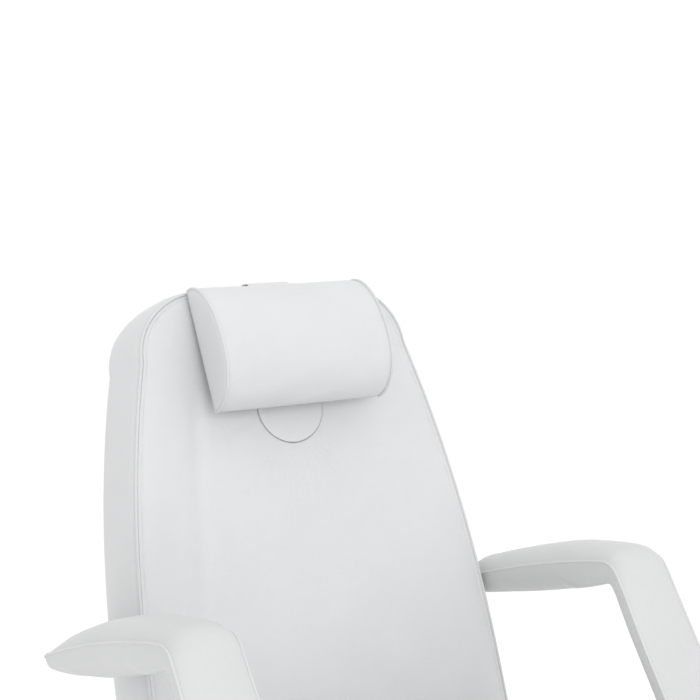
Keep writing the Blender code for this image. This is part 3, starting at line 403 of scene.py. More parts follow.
# Section of a cord of radius 1
CORD_ANGLES = [math.tau * k / 10 for k in range(10)]
CORD = [(math.cos(a), math.sin(a)) for a in CORD_ANGLES]
PIPING_RADIUS = 0.0022
ARM_PIPING_RADIUS = 0.0019
THREAD_HALF_WIDTH = 0.00036
THREAD_HALF_HEIGHT = 0.00026
# Places along one stitch, and the thread's share of its size there
STITCH_SHAPE = ((0.0, 0.35), (0.12, 0.85), (0.5, 1.0), (0.88, 0.85), (1.0, 0.35))


def welt(name, points, normal, radius, body, closed=True):
    """Piping sewn into a flat seam: a round cord along world points in one plane."""
    last = len(points) - 1
    rings = []
    for k, point in enumerate(points):
        ahead = points[(k + 1) % (last + 1) if closed else min(k + 1, last)]
        behind = points[k - 1 if closed else max(k - 1, 0)]
        across = (ahead - behind).normalized().cross(normal)
        rings.append([point + radius * (c * normal + s * across) for c, s in CORD])
    piece = skin(name, rings, SHADED_PIPING, closed)
    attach(piece, body)


def topstitch(name, points, normal, body):
    """Row of single stitches lying along world points, a gap between each."""
    bm = bmesh.new()
    for start, end in zip(points[::2], points[1::2]):
        along = end - start
        across = along.normalized().cross(normal)
        rings = []
        for share, size in STITCH_SHAPE:
            middle = start + share * along
            ring = []
            for c, s in CORD[::2]:
                out = THREAD_HALF_WIDTH * c * across + THREAD_HALF_HEIGHT * s * normal
                ring.append(middle + size * out)
            rings.append(ring)
        capped_rings(bm, rings)
    piece = object_of(name, bm, THREAD)
    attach(piece, body)


PAD_FILL = 0.85
PLUG_FILL = 0.9
PILLOW_FILL = 0.8


def upholster(piece, body, fill, *nodes):
    """Puts a soft cover in the place of its CAD nodes."""
    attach(piece, body)
    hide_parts(*nodes)


# Covers: what the stuffing presses out between the seams, found by one cloth run for all pads
COVERS = []
COVER_FRAMES = 20
STILL = 1e-7


def plump(piece, sewn, reach):
    """Enters a cover in the cloth run: sewn points stay, the others move by reach at most."""
    COVERS.append((piece, sorted(sewn), reach))


def settle_covers():
    """Runs the cloth, then writes each point's capped shift into its mesh."""
    stage = bpy.context.scene
    for piece, sewn, _ in COVERS:
        piece.vertex_groups.new(name="sewn").add(sewn, 1.0, "REPLACE")
        cover = piece.modifiers.new("cover", "CLOTH")
        cover.settings.vertex_group_mass = "sewn"
        cover.settings.quality = 4
        cover.settings.bending_stiffness = 6.0
        cover.settings.use_pressure = True
        cover.settings.uniform_pressure_force = 4.0
        cover.settings.shrink_min = -0.0015
        cover.settings.effector_weights.gravity = 0.0
        cover.collision_settings.use_collision = False
        cover.point_cache.frame_start = 1
        cover.point_cache.frame_end = COVER_FRAMES
    for step in range(1, COVER_FRAMES + 1):
        stage.frame_set(step)
    graph = bpy.context.evaluated_depsgraph_get()
    settled = []
    for piece, _, _ in COVERS:
        settled.append([v.co.copy() for v in piece.evaluated_get(graph).to_mesh().vertices])
    for (piece, _, reach), places in zip(COVERS, settled):
        piece.modifiers.clear()
        piece.vertex_groups.clear()
        for vertex, place in zip(piece.data.vertices, places):
            shift = place - vertex.co
            if shift.length > STILL:
                vertex.co += shift * (reach * math.tanh(shift.length / reach) / shift.length)
    stage.frame_set(1)


# Pads: a crowned face, a topstitched and piped seam, drawn-in sides and a hem round the board's
# pocket. The seam lies SEAM inside the pad's edge; the face is measured inwards from the seam.
SEAM = 0.007
STITCH_LINE = 0.0072
STITCH_LENGTH = 0.0026
STITCH_BED = 0.00055
STITCH_SINK, STITCH_SINK_WIDTH = 0.0007, 0.0012
TUG, TUG_PLACE, TUG_WIDTH = 0.0005, 0.013, 0.009
PIPING_LAP = 0.0010
PIPING_SINK = 0.0006
SWELL_REACH = 0.030
BESIDE_SEAM = [0.0008, 0.0024, 0.0042, 0.0056, 0.0064, 0.0072]
BESIDE_SEAM += [0.0080, 0.0088, 0.0104, 0.0135, 0.018, 0.024]
SEWN_WIDTH = 0.0088
LOOSE_RINGS = sum(d > SEWN_WIDTH for d in BESIDE_SEAM)
POCKET = 0.0117
POCKET_DEPTH = 0.0153
# Sides: how far inside the edge, with the height above the seam in HEM, as a share of the depth
# in FLANK, and above the pad's rear in FOOT. The cloth run moves the rings FREE_SIDES of these.
HEM = [(0.0086, 0.0004), (0.0066, -0.0020), (0.0038, -0.0050), (0.0021, -0.014)]
FLANK = [(0.0004, 0.72), (0.0, 0.5), (0.0004, 0.3)]
FOOT = [(0.0014, 0.020), (0.0034, 0.0060), (0.0062, 0.0014), (0.0092, 0.0)]
FOOT += [(POCKET, 0.0), (POCKET, POCKET_DEPTH)]
FREE_SIDES = range(3, 8)
# Size, pace and start of each wave in a seam
RIPPLES = ((0.5, 0.61, 0.0), (0.3, 1.13, 1.0), (0.2, 1.91, 2.0))


def ripple(k):
    """Small uneven pull of the stitches along a seam, from -1 to 1."""
    return sum(size * math.sin(k * pace + start) for size, pace, start in RIPPLES)


def swell(d):
    """Share of the crown reached at a distance d inside the seam."""
    return 1.0 - math.exp(-d / SWELL_REACH)


def face_height(k, d, depth, crown):
    """Height of the face at a distance d inside point k of the seam, sunk along the topstitch."""
    tug = TUG * ripple(k) * math.exp(-(((d - TUG_PLACE) / TUG_WIDTH) ** 2))
    line = STITCH_SINK * math.exp(-(((d - STITCH_LINE) / STITCH_SINK_WIDTH) ** 2))
    return depth + crown * swell(d) + tug - line


def side_rings(edge, depth):
    """Rings of (u, v, h) from the seam, down the side, to the rear pocket."""
    levels = [(draw, depth + rise) for draw, rise in HEM]
    levels += [(draw, depth * share) for draw, share in FLANK]
    return [[(u, v, h) for u, v in inset(edge, draw)] for draw, h in levels + FOOT]


def plump_pad(pad, edge, rings, first_side, free_face, reach):
    """Enters a pad in the cloth run: the free rings of its face and its sides' middle move."""
    free = [*free_face, *(first_side + k for k in FREE_SIDES)]
    held = [k for k in range(len(rings)) if k not in free]
    plump(pad, [r * len(edge) + k for r in held for k in range(len(edge))], reach)


def seam_trim(name, body, edge, depth, crown, spot):
    """Piping on the front seam and the topstitch beside it."""
    up = (spot(0, 0, 1) - spot(0, 0, 0)).normalized()
    cord = [spot(u, v, depth - PIPING_SINK) for u, v in inset(edge, SEAM - PIPING_LAP)]
    welt(name + "_piping", cord, up, PIPING_RADIUS, body)
    line = inset(edge, SEAM + STITCH_LINE)
    length = sum(math.dist(a, b) for a, b in zip(line, line[1:]))
    ends = round(length / STITCH_LENGTH / 2) * 2
    level = depth + crown * swell(STITCH_LINE) - STITCH_BED
    thread = [spot(u, v, level) for u, v in spaced(line + line[:1], ends)]
    topstitch(name + "_topstitch", thread, up, body)


# World places on the three pads: across, along, and height above the pad's rear
SEAT_PAD_REAR = 0.0143
LEG_PAD_REAR = 0.040
BACK_PAD_REAR = 0.050


def on_seat(u, v, h):
    return SEAT @ Vector((u, v, SEAT_PAD_REAR + h))


def on_leg(u, v, h):
    return LEG @ Vector((u, v, LEG_PAD_REAR + h))


def on_back(u, v, h):
    return BACK @ Vector((u, BACK_PAD_REAR - h, v))


# Points on each of a cushion's four sides, and how far the cloth run moves its cover
RUN = 56
CUSHION_REACH = 0.004


def make_cushion(name, node, body, edge, spot, depth, crown):
    """Rounded cushion: a woven grid inside rings beside the seam."""
    rings = []
    for d in reversed(BESIDE_SEAM):
        line = enumerate(inset(edge, SEAM + d))
        rings.append([(u, v, face_height(k, d, depth, crown)) for k, (u, v) in line])
    first_side = len(rings)
    rings += side_rings(edge, depth)
    border = [(u, v) for u, v, h in rings[0]]
    grid = woven_patch(border, RUN)
    bm = bmesh.new()
    loops = stitch_rings(bm, [[spot(*p) for p in ring] for ring in rings], False)
    bm.faces.new(loops[-1])
    cells = [[None] * (RUN + 1) for row in grid]
    for j, row in enumerate(grid):
        for i, (u, v) in enumerate(row):
            if 0 < i < RUN and 0 < j < RUN:
                d = BESIDE_SEAM[-1] + min(math.dist((u, v), p) for p in border)
                cells[j][i] = bm.verts.new(spot(u, v, depth + crown * swell(d)))
    for k in range(RUN):
        cells[0][k] = loops[0][k]
        cells[k][RUN] = loops[0][RUN + k]
        cells[RUN][RUN - k] = loops[0][2 * RUN + k]
        cells[RUN - k][0] = loops[0][3 * RUN + k]
    for j in range(RUN):
        for i in range(RUN):
            bm.faces.new((cells[j][i], cells[j][i + 1], cells[j + 1][i + 1], cells[j + 1][i]))
    pad = object_of(name + "_pad", bm, LEATHER)
    upholster(pad, body, PAD_FILL, node)
    plump_pad(pad, edge, rings, first_side, range(LOOSE_RINGS), CUSHION_REACH)
    seam_trim(name, body, edge, depth, crown, spot)


# Backrest pad: tapered outline with a face hole
BACK_DEPTH = 0.112
BACK_CROWN = 0.0035
HOLE_Z = 0.593
HOLE_RADIUS = 0.0547
HOLE_ROLL = 0.0030
PLUG_GAP = 0.0004
PLUG_RISE = 0.0042
PLUG_SHIFT = (0.0004, 0.0001)
BACK_POINTS = 320
BACK_SPANS = 24
BACK_REACH = 0.0025


def back_outline():
    """Half widths from the foot's round corner up the taper to the shoulder, mirrored."""
    half, shoulder, low, top = 0.295, 0.2275, 0.045, 0.7755
    wide, tall, foot, taper, bend = 0.114, 0.1005, 0.035, 0.105, 2.36
    steps = 28
    right = circle((half - foot, low + foot), foot, 10, -90, 90)
    for k in range(steps):
        x = half - (k / steps) ** bend * (half - shoulder)
        right.append((x, taper + (top - tall - taper) * k / steps))
    for k in range(steps):
        a = math.radians(90 * k / (steps - 1))
        right.append((shoulder - wide + wide * math.cos(a), top - tall + tall * math.sin(a)))
    return right + [(-x, z) for x, z in reversed(right)]


def make_backrest():
    """Backrest cover: rings from the hole's wall over the face and down the sides."""
    outline = back_outline()
    edge = spaced(outline + outline[:1], BACK_POINTS)
    turns = [math.atan2(v - HOLE_Z, u) for u, v in edge]
    front = BACK_DEPTH + BACK_CROWN

    def hole_ring(radius):
        return [(radius * math.cos(a), HOLE_Z + radius * math.sin(a)) for a in turns]

    wall = [(0.0, POCKET_DEPTH), (0.0, front * 0.6), (-0.0001, front - 0.0040)]
    wall += [(0.0002, front - 0.0014), (0.0010, front - 0.0004)]
    rings = [[(u, v, h) for u, v in hole_ring(HOLE_RADIUS + grow)] for grow, h in wall]
    core = hole_ring(HOLE_RADIUS + HOLE_ROLL)
    beside = [inset(edge, SEAM + d) for d in reversed(BESIDE_SEAM)]
    for step in range(BACK_SPANS):
        t = step / BACK_SPANS
        ring = []
        for (cu, cv), (u, v) in zip(core, beside[0]):
            d = BESIDE_SEAM[-1] + (1 - t) * math.hypot(u - cu, v - cv)
            ring.append((cu + t * (u - cu), cv + t * (v - cv), BACK_DEPTH + BACK_CROWN * swell(d)))
        rings.append(ring)
    for d, line in zip(reversed(BESIDE_SEAM), beside):
        heights = [face_height(k, d, BACK_DEPTH, BACK_CROWN) for k in range(len(line))]
        rings.append([(u, v, h) for (u, v), h in zip(line, heights)])
    first_side = len(rings)
    rings += side_rings(edge, BACK_DEPTH)
    pad = skin("backrest_pad", [[on_back(*p) for p in ring] for ring in rings], LEATHER, True)
    upholster(pad, "backrest", PAD_FILL, "back_cushion")
    free_face = range(len(wall) + 2, len(wall) + BACK_SPANS + LOOSE_RINGS)
    plump_pad(pad, edge, rings, first_side, free_face, BACK_REACH)
    seam_trim("backrest", "backrest", edge, BACK_DEPTH, BACK_CROWN, on_back)
    return pad


def make_plug():
    """Padded disc with a rolled edge, level with the pad round it and to one side of its hole."""
    front = BACK_DEPTH + PLUG_RISE
    radius = HOLE_RADIUS - PLUG_GAP
    middle = (PLUG_SHIFT[0], HOLE_Z + PLUG_SHIFT[1])
    profile = [
        (radius * 0.2, POCKET_DEPTH),
        (radius - 0.001, POCKET_DEPTH),
        (radius, POCKET_DEPTH + 0.001),
        (radius, front - 0.0030),
        (radius - 0.0003, front - 0.0012),
        (radius - 0.0011, front - 0.0004),
        (radius - 0.0030, front),
        (radius * 0.75, front + 0.0004),
        (radius * 0.4, front + 0.0006),
        (radius * 0.1, front + 0.0006),
    ]
    rings = [[on_back(x, z, h) for x, z in circle(middle, r, 96)] for r, h in profile]
    upholster(skin("face_hole_plug", rings, LEATHER), "plug", PLUG_FILL, "face_plug")


# Head pillow: half-round bolster with piped end caps, its foot leaving the backrest
PILLOW_TOP = 0.7715
PILLOW_HEIGHT = 0.186
PILLOW_DEPTH = 0.0645
PILLOW_TILT = math.radians(8.0)
PILLOW_STANDOFF = 0.0073
PILLOW_CORE = 0.42
PILLOW_ROUND = 2.25
PILLOW_DROOP = 0.10
PILLOW_STEPS = 56
PILLOW_REACH = 0.0030
# From each end: place across, and the section's share of its full size
PILLOW_END = [(0.1396, 0.30), (0.1398, 0.62), (0.1396, 0.84), (0.1391, 0.93), (0.1381, 0.960)]
PILLOW_END += [(0.1367, 0.974), (0.1351, 0.974), (0.1315, 0.980), (0.126, 0.985), (0.118, 0.988)]
PILLOW_END += [(0.118 - 0.0118 * k, 0.99) for k in range(1, 10)]
PILLOW_SEAM = (0.1369, 0.982)
PILLOW_SEWN_RINGS = 8


def pillow_section(x, share):
    """D section at x in world points, drawn in towards its own middle to a share of its size."""
    ring = []
    front = [-math.cos(math.pi * k / PILLOW_STEPS) for k in range(PILLOW_STEPS + 1)]
    rear = [1 - k / 8 for k in range(1, 16)]
    for k, lower in enumerate(front + rear):
        bulge = 0.0
        if k <= PILLOW_STEPS:
            bulge = math.sqrt(max(0.0, 1 - abs(lower) ** PILLOW_ROUND))
            bulge *= 1 + PILLOW_DROOP * lower
        along = PILLOW_HEIGHT / 2 * (1 + lower * share)
        out = PILLOW_DEPTH * (PILLOW_CORE + (bulge - PILLOW_CORE) * share)
        h = PILLOW_STANDOFF + along * math.sin(PILLOW_TILT) + out * math.cos(PILLOW_TILT)
        v = PILLOW_TOP - along * math.cos(PILLOW_TILT) + out * math.sin(PILLOW_TILT)
        ring.append(on_back(x, v, BACK_DEPTH + h))
    return ring


def make_pillow():
    """Bolster with flat ends; its rear and its end seams are held, the rest is stuffed."""
    stations = PILLOW_END + [(-x, share) for x, share in reversed(PILLOW_END)]
    rings = [pillow_section(x, share) for x, share in stations]
    pillow = skin("head_bolster", rings, LEATHER)
    upholster(pillow, "pillow", PILLOW_FILL, "head_pillow")
    count = len(rings[0])
    sewn = []
    for r in range(len(rings)):
        held = min(r, len(rings) - 1 - r) < PILLOW_SEWN_RINGS
        sewn += [r * count + k for k in range(count) if held or k > PILLOW_STEPS - 2 or k < 3]
    plump(pillow, sewn, PILLOW_REACH)
    place, share = PILLOW_SEAM
    for side, name in ((-1, "left"), (1, "right")):
        seam = pillow_section(side * place, share)
        welt("bolster_piping_" + name, seam, Vector((1, 0, 0)), PIPING_RADIUS, "pillow")


# Strap's line beside the backrest, up behind the pillow, over the top edge and down the rear
STRAP_REAR = 0.0513
STRAP_ROUTE = [(-0.0683, 0.679), (-0.0683, 0.730), (-0.0683, 0.757), (-0.0668, 0.7700)]
STRAP_ROUTE += [(-0.0620, 0.7767), (-0.0520, 0.7791), (-0.0300, 0.7783), (0.0, 0.7771)]
STRAP_ROUTE += [(0.0420, 0.7768), (0.0482, 0.7753), (0.0512, 0.7695), (STRAP_REAR, 0.757)]
STRAP_ROUTE += [(STRAP_REAR, 0.730), (STRAP_REAR, 0.690)]
STRAP_HALF = 0.0345
STRAP_THICK = 0.0010
STRAP_EDGE = 0.002
# Box of stitches at its rear end
BOX_HALF, BOX_LOW, BOX_HIGH = 0.029, 0.6945, 0.7180
BOX_ENDS = 62


def make_strap():
    """Woven band from behind the pillow, over the top edge, to the rear of the backrest."""
    half, flat = STRAP_HALF, STRAP_HALF - STRAP_EDGE
    section = [(-half, 0.4), (-flat, 1), (flat, 1), (half, 0.4)]
    section += [(half, -0.4), (flat, -1), (-flat, -1), (-half, -0.4)]
    rings = []
    for k, (y, z) in enumerate(STRAP_ROUTE):
        y0, z0 = STRAP_ROUTE[max(k - 1, 0)]
        y1, z1 = STRAP_ROUTE[min(k + 1, len(STRAP_ROUTE) - 1)]
        run = math.hypot(y1 - y0, z1 - z0)
        ny, nz = -(z1 - z0) / run, (y1 - y0) / run
        ring = []
        for x, s in section:
            out = s * STRAP_THICK
            ring.append(BACK @ Vector((x, y + out * ny, z + out * nz)))
        rings.append(ring)
    band = skin("pillow_band", rings, STRAP)
    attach(band, "pillow")
    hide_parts("pillow_strap")
    box = [(-BOX_HALF, BOX_LOW), (BOX_HALF, BOX_LOW), (BOX_HALF, BOX_HIGH), (-BOX_HALF, BOX_HIGH)]
    level = STRAP_REAR + STRAP_THICK + 0.0001
    rear = [BACK @ Vector((x, level, z)) for x, z in spaced(box + box[:1], BOX_ENDS)]
    outward = (BACK @ Vector((0, 1, 0)) - HINGE).normalized()
    topstitch("pillow_band_stitching", rear, outward, "pillow")


# Armrests: padded sevens with piped edges, left and right as the photo shows them
ARM_MID = 0.342
ARM_HALF = 0.0475
ELBOW = (0.014, 0.858)
ELBOW_DEPTH = 0.031
LIMB_LEAN = math.radians(34.8)
LIMB_THICK = 0.018
LIMB_END = 0.606
ARM_TIP = 0.372
ARM_TOP_SLOPE, ARM_TOP_BEND = 0.19, 0.31
ARM_UNDER_SLOPE, ARM_UNDER_BEND = 0.36, 0.27
# In the photo the left underside hangs lower and the left crown thins to the tip
ARM_SAG = {"left": 0.0085, "right": 0.0006}
ARM_THINNING = {"left": 0.4, "right": 0.0}
HULL_REACH = 0.030
ARM_ROUND = 0.003
ARM_RISE = 0.0265
CROWN_START = 0.0026
CROWN_REACH = 0.0125
ARM_REACH = 0.0025
FLOW_STEPS = 5
# Points along the limb's faces and along the arm's, and places across from each side, of which
# the first SEWN_STEPS are held in the cloth run and PIPED_STEP carries the piping
LIMB_RUN = 34
ARM_RUN = 64
SIDE_STEPS = [0.0, 0.0004, 0.0013, 0.0028, 0.0046, 0.0070]
SIDE_STEPS += [0.0100, 0.0135, 0.018, 0.024, 0.031, 0.039]
SEWN_STEPS = 5
PIPED_STEP = 2
# The limb's inner side spreads towards its foot
LIMB_SPREAD, SPREAD_TOP, SPREAD_FADE = 0.0026, 0.815, 0.05


def arm_top(y):
    """Height of the arm's upper edge."""
    d = y - ELBOW[0]
    return ELBOW[1] - ARM_TOP_SLOPE * d - ARM_TOP_BEND * d * d


def arm_under(y, sag=0.0):
    """Height of the arm's underside, which sags most behind its middle."""
    d = y - ELBOW[0]
    belly = math.sin(math.pi * min(1.0, max(0.0, d / (ARM_TIP - ELBOW[0]))) ** 1.7)
    straight = ELBOW[1] - ELBOW_DEPTH - ARM_UNDER_SLOPE * d
    return straight + ARM_UNDER_BEND * d * d - sag * belly


def limb_point(z, depth):
    """Point of the front limb at height z, depth behind its front face."""
    y = ELBOW[0] + depth * math.cos(LIMB_LEAN)
    drop = ELBOW[1] - depth * math.sin(LIMB_LEAN) - z
    return (y - drop * math.tan(LIMB_LEAN), z)


def arm_rim(sag, thinning):
    """Side outline in four runs of (y, z, crown push in y and z, height of the edge's rounding).

    The runs go up the limb's front, along the top, back along the underside, which is rounded
    like a hull, and down the limb's rear.
    """
    top = ELBOW[1]
    lean = (math.cos(LIMB_LEAN), math.sin(LIMB_LEAN))
    front = []
    for share, push in ((0.0, 0.006), (0.35, 0.006), (0.7, 0.007), (0.88, 0.009)):
        place = limb_point(LIMB_END + share * (top - 0.022 - LIMB_END), 0)
        front.append((*place, -push * lean[0], push * lean[1], ARM_ROUND))
    front.append((*limb_point(top - 0.022, 0.0), -0.009, 0.0075, ARM_ROUND))
    front.append((*limb_point(top - 0.009, 0.0014), -0.0085, 0.0120, ARM_ROUND))
    upper = [(ELBOW[0] + 0.010, top - 0.0036, -0.0045, 0.0165, ARM_ROUND)]
    first = ELBOW[0] + 0.030
    for k in range(10):
        y = first + (ARM_TIP - first) * k / 9
        thin = min(1 - thinning * max(0.0, k / 4.5 - 1) ** 1.6, 1.0 if k < 9 else 0.25)
        rise = ARM_RISE * (0.74 + 0.26 * min(1.0, 4.0 * k / 9)) * thin
        upper.append((y, arm_top(y), 0.0, rise, ARM_ROUND))
    turn = arm_under(limb_point(ELBOW[1] - ELBOW_DEPTH, LIMB_THICK)[0])
    stop = limb_point(turn, LIMB_THICK)[0] + 0.004
    last = ARM_TIP - 0.022
    under = [(ARM_TIP - 0.0025, arm_top(ARM_TIP) - 0.0075, 0.0, 0.0, ARM_ROUND)]
    under.append((ARM_TIP - 0.0085, arm_top(ARM_TIP) - 0.0135, 0.0, 0.0, ARM_ROUND))
    for k in range(12):
        y = last + (stop - last) * (k / 11) ** 0.85
        fade = min(1.0, (k + 1) / 4) * min(1.0, max(0.0, 10 - k) / 3.2) ** 2
        low = arm_under(y, sag)
        under.append((y, low, 0.0, 0.0, ARM_ROUND + 0.78 * fade * (arm_top(y) - low)))
    rear = []
    for share in (0.955, 0.88, 0.75, 0.5, 0.25, 0.0):
        place = limb_point(LIMB_END + share * (turn - LIMB_END), LIMB_THICK)
        rear.append((*place, 0.0, 0.0, ARM_ROUND))
    return front, upper, under, rear


def flowing(points):
    """Smooth curve through the points, FLOW_STEPS to a stretch."""
    made = []
    for k in range(len(points) - 1):
        a, b, c, d = [points[min(max(n, 0), len(points) - 1)] for n in (k - 1, k, k + 1, k + 2)]
        for s in range(FLOW_STEPS):
            t = s / FLOW_STEPS
            row = []
            for p, q, r, w in zip(a, b, c, d):
                bend = 2 * q + (r - p) * t + (2 * p - 5 * q + 4 * r - w) * t * t
                bend += (3 * q - p - 3 * r + w) * t**3
                row.append(0.5 * bend)
            made.append(tuple(row))
    made.append(tuple(points[-1]))
    return made


def crown_share(x):
    """How much of the crown stands at x from the side seam."""
    return (1 - math.exp(-x / CROWN_REACH)) / (1 - math.exp(-ARM_HALF / CROWN_REACH))


def side_draw(x, height):
    """How far a rounded edge of this height lies inside the outline at x from the side."""
    reach = min(HULL_REACH, height)
    return height * (1 - math.sqrt(1 - (1 - x / reach) ** 2)) if x < reach else 0.0


def make_armrest(side, name):
    """Armrest cover through sections across it, and the piping on its front and top edges."""
    front, upper, under, rear = arm_rim(ARM_SAG[name], ARM_THINNING[name])
    fine = flowing(front + upper + under + rear)
    breaks = [0]
    for run in (front, upper, under):
        breaks.append(breaks[-1] + FLOW_STEPS * len(run))
    breaks.append(len(fine) - 1)
    line = []
    for a, b, count in zip(breaks, breaks[1:], (LIMB_RUN, ARM_RUN, ARM_RUN, LIMB_RUN)):
        line += spaced(fine[a : b + 1], count)
    flat = [(row[0], row[1]) for row in line]
    outward = [(x - a, y - b) for (x, y), (a, b) in zip(inset(flat, 1.0), flat)]
    stations = SIDE_STEPS + [2 * ARM_HALF - x for x in reversed(SIDE_STEPS)]
    rings = []
    for x in stations:
        near = min(x, 2 * ARM_HALF - x)
        share = crown_share(max(0.0, near - CROWN_START))
        inner = max(0.0, side * (ARM_HALF - x) / ARM_HALF)
        ring = []
        for (y, z, py, pz, radius), (oy, oz) in zip(line, outward):
            draw = -side_draw(near, radius)
            lower = min(1.0, max(0.0, (SPREAD_TOP - z) / SPREAD_FADE)) if y < 0.0 else 0.0
            spread = LIMB_SPREAD * inner * lower
            place = (y + draw * oy + share * py, z + draw * oz + share * pz)
            ring.append(Vector((side * ARM_MID - ARM_HALF + x - side * spread, *place)))
        rings.append(ring)
    body = "armrest_" + name
    cover = skin(body + "_cover", rings, SHADED_ARM_LEATHER, ladder=True)
    upholster(cover, body, PAD_FILL, "armrest_pad_" + name)
    count = len(line)
    crest = range(4, LIMB_RUN + ARM_RUN - 6)
    sewn = []
    for r in range(len(stations)):
        held = min(r, len(stations) - 1 - r) < SEWN_STEPS
        sewn += [r * count + k for k in range(count) if held or k not in crest]
    plump(cover, sewn, ARM_REACH)
    edge_names = ("outer", "inner") if side < 0 else ("inner", "outer")
    for r, edge_name in zip((PIPED_STEP, len(stations) - 1 - PIPED_STEP), edge_names):
        points = rings[r][: LIMB_RUN + ARM_RUN]
        piping = f"{body}_piping_{edge_name}"
        welt(piping, points, Vector((1, 0, 0)), ARM_PIPING_RADIUS, body, False)


# Fasteners and grips on the steelwork: radius and height up a washer and up a bolt's head
WASHER = [(0.0082, 0.0), (0.0082, 0.0013), (0.0079, 0.0016)]
BOLT_HEAD = [(0.0064, 0.0016), (0.0075, 0.0020), (0.0075, 0.0058)]
BOLT_HEAD += [(0.0066, 0.0068), (0.0030, 0.0070)]


def hex_bolts(name, places, body):
    """Domed hexagon bolts on washers, standing up from each place."""
    bm = bmesh.new()
    for x, y, z in places:
        for section, sides in ((WASHER, 24), (BOLT_HEAD, 6)):
            rings = []
            for r, h in section:
                rings.append([(a, b, z + h) for a, b in circle((x, y), r, sides, 15.0)])
            capped_rings(bm, rings)
    bolts = object_of(name, bm, STEEL)
    bolts.data.shade_flat()
    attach(bolts, body)


def tapered(half, near, full):
    """Places along a bar, and the share of its radius there: it narrows to both ends."""
    start = [(-half, 0.3), (-near, 0.8), (-full, 1.0)]
    return start + [(-place, size) for place, size in reversed(start)]


BAR_POINTS = 8
RIB_COUNT, RIB_PITCH, RIB_RADIUS = 7, 0.0125, 0.0021
FLUTE_COUNT, FLUTE_RADIUS, FLUTE_CIRCLE = 12, 0.0026, 0.0196
# Back from the knob's end: both ends of its rim, and the middle of the flutes
RIM_NEAR, RIM_FAR, FLUTE_MIDDLE = 0.003, 0.021, 0.0125


def tread_ribs():
    """Raised ribs across the top of the foot pedal's rubber."""
    pad = frame["nodes"]["pedal_pad"].data
    face = max((f for f in pad.polygons if f.normal.z > 0.8), key=lambda f: f.area)
    along = Vector((face.normal.z, 0, -face.normal.x)).normalized()
    bm = bmesh.new()
    for k in range(RIB_COUNT):
        foot = face.center + along * (k - RIB_COUNT // 2) * RIB_PITCH
        rings = []
        for y, size in tapered(0.0235, 0.0228, 0.0215):
            arc = circle((0, 0), RIB_RADIUS * size, BAR_POINTS, 0, 180)
            rings.append([foot + Vector((0, y, 0)) + a * along + b * face.normal for a, b in arc])
        capped_rings(bm, rings)
    ribs = object_of("pedal_tread_ribs", bm, RUBBER)
    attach(ribs, "pedal")


def knob_flutes(name):
    """Rounded grip bars round the clamp knob, along its axis."""
    mesh = frame["nodes"]["arm_knob_" + name].data
    spin = SEAT.to_3x3()
    axis = spin @ Vector((0, -1, 0))
    up = spin @ Vector((0, 0, 1))
    across = Vector((1, 0, 0))
    far = max(v.co.dot(axis) for v in mesh.vertices)
    rim = [v.co for v in mesh.vertices if far - RIM_FAR < v.co.dot(axis) < far - RIM_NEAR]
    centre = sum(rim, Vector()) / len(rim)
    middle = centre + axis * (far - FLUTE_MIDDLE - centre.dot(axis))
    bm = bmesh.new()
    for k in range(FLUTE_COUNT):
        a = math.tau * k / FLUTE_COUNT
        out = math.cos(a) * across + math.sin(a) * up
        beside = axis.cross(out)
        rings = []
        for step, size in tapered(0.0078, 0.0070, 0.0052):
            foot = middle + axis * step + out * FLUTE_CIRCLE
            arc = circle((0, 0), FLUTE_RADIUS * size, BAR_POINTS, 0, 180)
            rings.append([foot + c * beside + d * out for c, d in arc])
        capped_rings(bm, rings)
    flutes = object_of(f"knob_{name}_flutes", bm, PLASTIC)
    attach(flutes, "knob_" + name)


# Pull line in the backrest's cover: depth and width, slant, a point on it, and where it fades
PULL_DEPTH, PULL_WIDTH, PULL_SLANT = 0.0042, 0.011, 0.13
PULL_X, PULL_Z = -0.155, 0.585
PULL_TOP, PULL_TOP_FADE = 0.63, 0.06
PULL_FOOT, PULL_FOOT_FADE = 0.26, 0.12
FRONT_HALF = -0.050


def crease_backrest(pad):
    """Presses the pull line into the face at the sitter's right, down from the pillow."""
    to_back = BACK.inverted()
    inward = (BACK @ Vector((0, 1, 0)) - HINGE).normalized()
    for vertex in pad.data.vertices:
        place = to_back @ vertex.co
        if place.y > FRONT_HALF:
            continue
        off = place.x - PULL_X + PULL_SLANT * (PULL_Z - place.z)
        fade = min(1.0, max(0.0, (PULL_TOP - place.z) / PULL_TOP_FADE))
        fade *= min(1.0, max(0.0, (place.z - PULL_FOOT) / PULL_FOOT_FADE))
        vertex.co += inward * PULL_DEPTH * fade * math.exp(-((off / PULL_WIDTH) ** 2))


# Half width, low and high end and corner of each cushion's edge; height and circle of the bolts
SEAT_EDGE = rounded(0.272, -0.546, -0.066, 0.045, RUN)
SEAT_DEPTH, SEAT_CROWN = 0.098, 0.007
LEG_EDGE = rounded(0.262, -0.482, -0.032, 0.060, RUN)
LEG_DEPTH, LEG_CROWN = 0.080, 0.005
PUMP_FLANGE_TOP, PUMP_BOLT_CIRCLE = 0.0363, 0.0685
SWIVEL_HUB_TOP, SWIVEL_BOLT_CIRCLE = 0.3996, 0.076
pump_bolts = [(x, y, PUMP_FLANGE_TOP) for x, y in circle((0, 0), PUMP_BOLT_CIRCLE, 6, 30)]
swivel_bolts = [(x, y, SWIVEL_HUB_TOP) for x, y in circle((0, 0), SWIVEL_BOLT_CIRCLE, 4)]

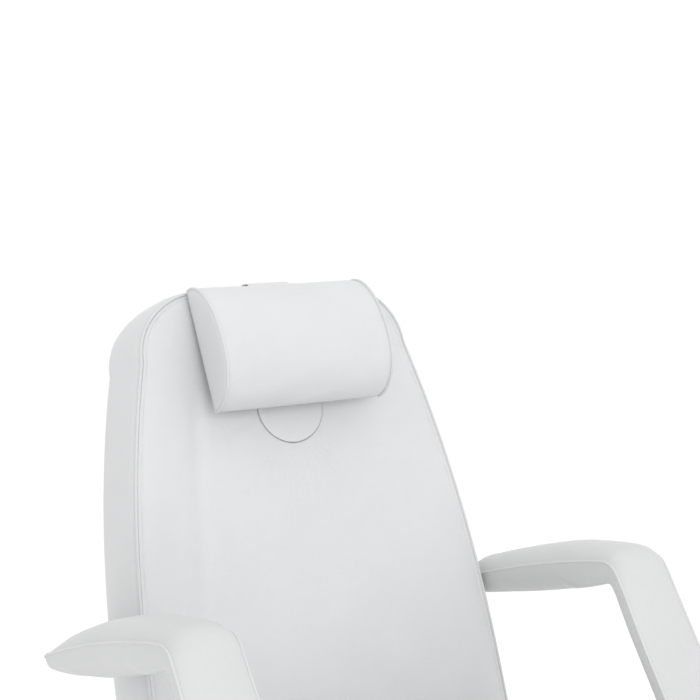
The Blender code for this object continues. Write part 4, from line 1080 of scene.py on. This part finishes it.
back_pad = make_backrest()
make_plug()
make_pillow()
make_strap()
make_cushion("seat", "seat_cushion", "seat", SEAT_EDGE, on_seat, SEAT_DEPTH, SEAT_CROWN)
make_cushion("legrest", "leg_cushion", "legrest", LEG_EDGE, on_leg, LEG_DEPTH, LEG_CROWN)
for arm_side, arm_name in ((-1, "left"), (1, "right")):
    make_armrest(arm_side, arm_name)
    knob_flutes(arm_name)
hex_bolts("pump_flange_bolts", pump_bolts, "base")
hex_bolts("swivel_hub_bolts", swivel_bolts, "seat")
tread_ribs()
settle_covers()
crease_backrest(back_pad)

# Studio: white floor, white surround, soft lights
FLOOR = 30.0
FLOOR_FINISH = {
    "Base Color": (0.97, 0.97, 0.97, 1.0),
    "Roughness": 0.9,
    "Specular IOR Level": 0.1,
}
floor_corners = [(-FLOOR, -FLOOR, 0), (FLOOR, -FLOOR, 0), (FLOOR, FLOOR, 0), (-FLOOR, FLOOR, 0)]
floor_mesh = bpy.data.meshes.new("studio_floor")
floor_mesh.from_pydata(floor_corners, [], [(0, 1, 2, 3)])
floor_mesh.materials.append(finish_of("studio_floor", FLOOR_FINISH)[0])
floor = bpy.data.objects.new("studio_floor", floor_mesh)
bpy.context.collection.objects.link(floor)

scene = bpy.context.scene
scene.world = bpy.data.worlds.new("studio_surround")
scene.world.use_nodes = True
surround = scene.world.node_tree.nodes["Background"]
surround.inputs["Color"].default_value = (1.0, 1.0, 1.0, 1.0)
surround.inputs["Strength"].default_value = 1.05
scene.view_settings.view_transform = "Standard"
scene.view_settings.look = "None"

AIM = Vector((0, 0.2, 0.9))


def softbox(name, place, size, power):
    """Area light at a place, turned to the chair."""
    data = bpy.data.lights.new(name, "AREA")
    data.shape = "RECTANGLE"
    data.size, data.size_y = size
    data.energy = power
    lamp = bpy.data.objects.new(name, data)
    lamp.location = place
    lamp.rotation_euler = (AIM - Vector(place)).to_track_quat("-Z", "Y").to_euler()
    bpy.context.collection.objects.link(lamp)


softbox("overhead_softbox", (0.4, 0.3, 3.4), (2.4, 1.6), 8.0)
softbox("front_softbox", (-0.6, -3.2, 2.4), (2.0, 1.4), 20.0)
softbox("low_softbox", (-0.9, -3.0, 0.35), (2.2, 0.6), 13.0)

# Camera fitted to the photo's outlines
camera_data = bpy.data.cameras.new("photo_camera")
camera_data.lens = 83.03
camera_data.sensor_width = 36.0
camera_data.clip_end = 100.0
camera = bpy.data.objects.new("photo_camera", camera_data)
camera.location = (-1.2023, -1.6019, 1.4245)
camera.rotation_euler = (math.radians(82.863), 0.0, math.radians(-33.418))
bpy.context.collection.objects.link(camera)
scene.camera = camera

bpy.context.view_layer.update()
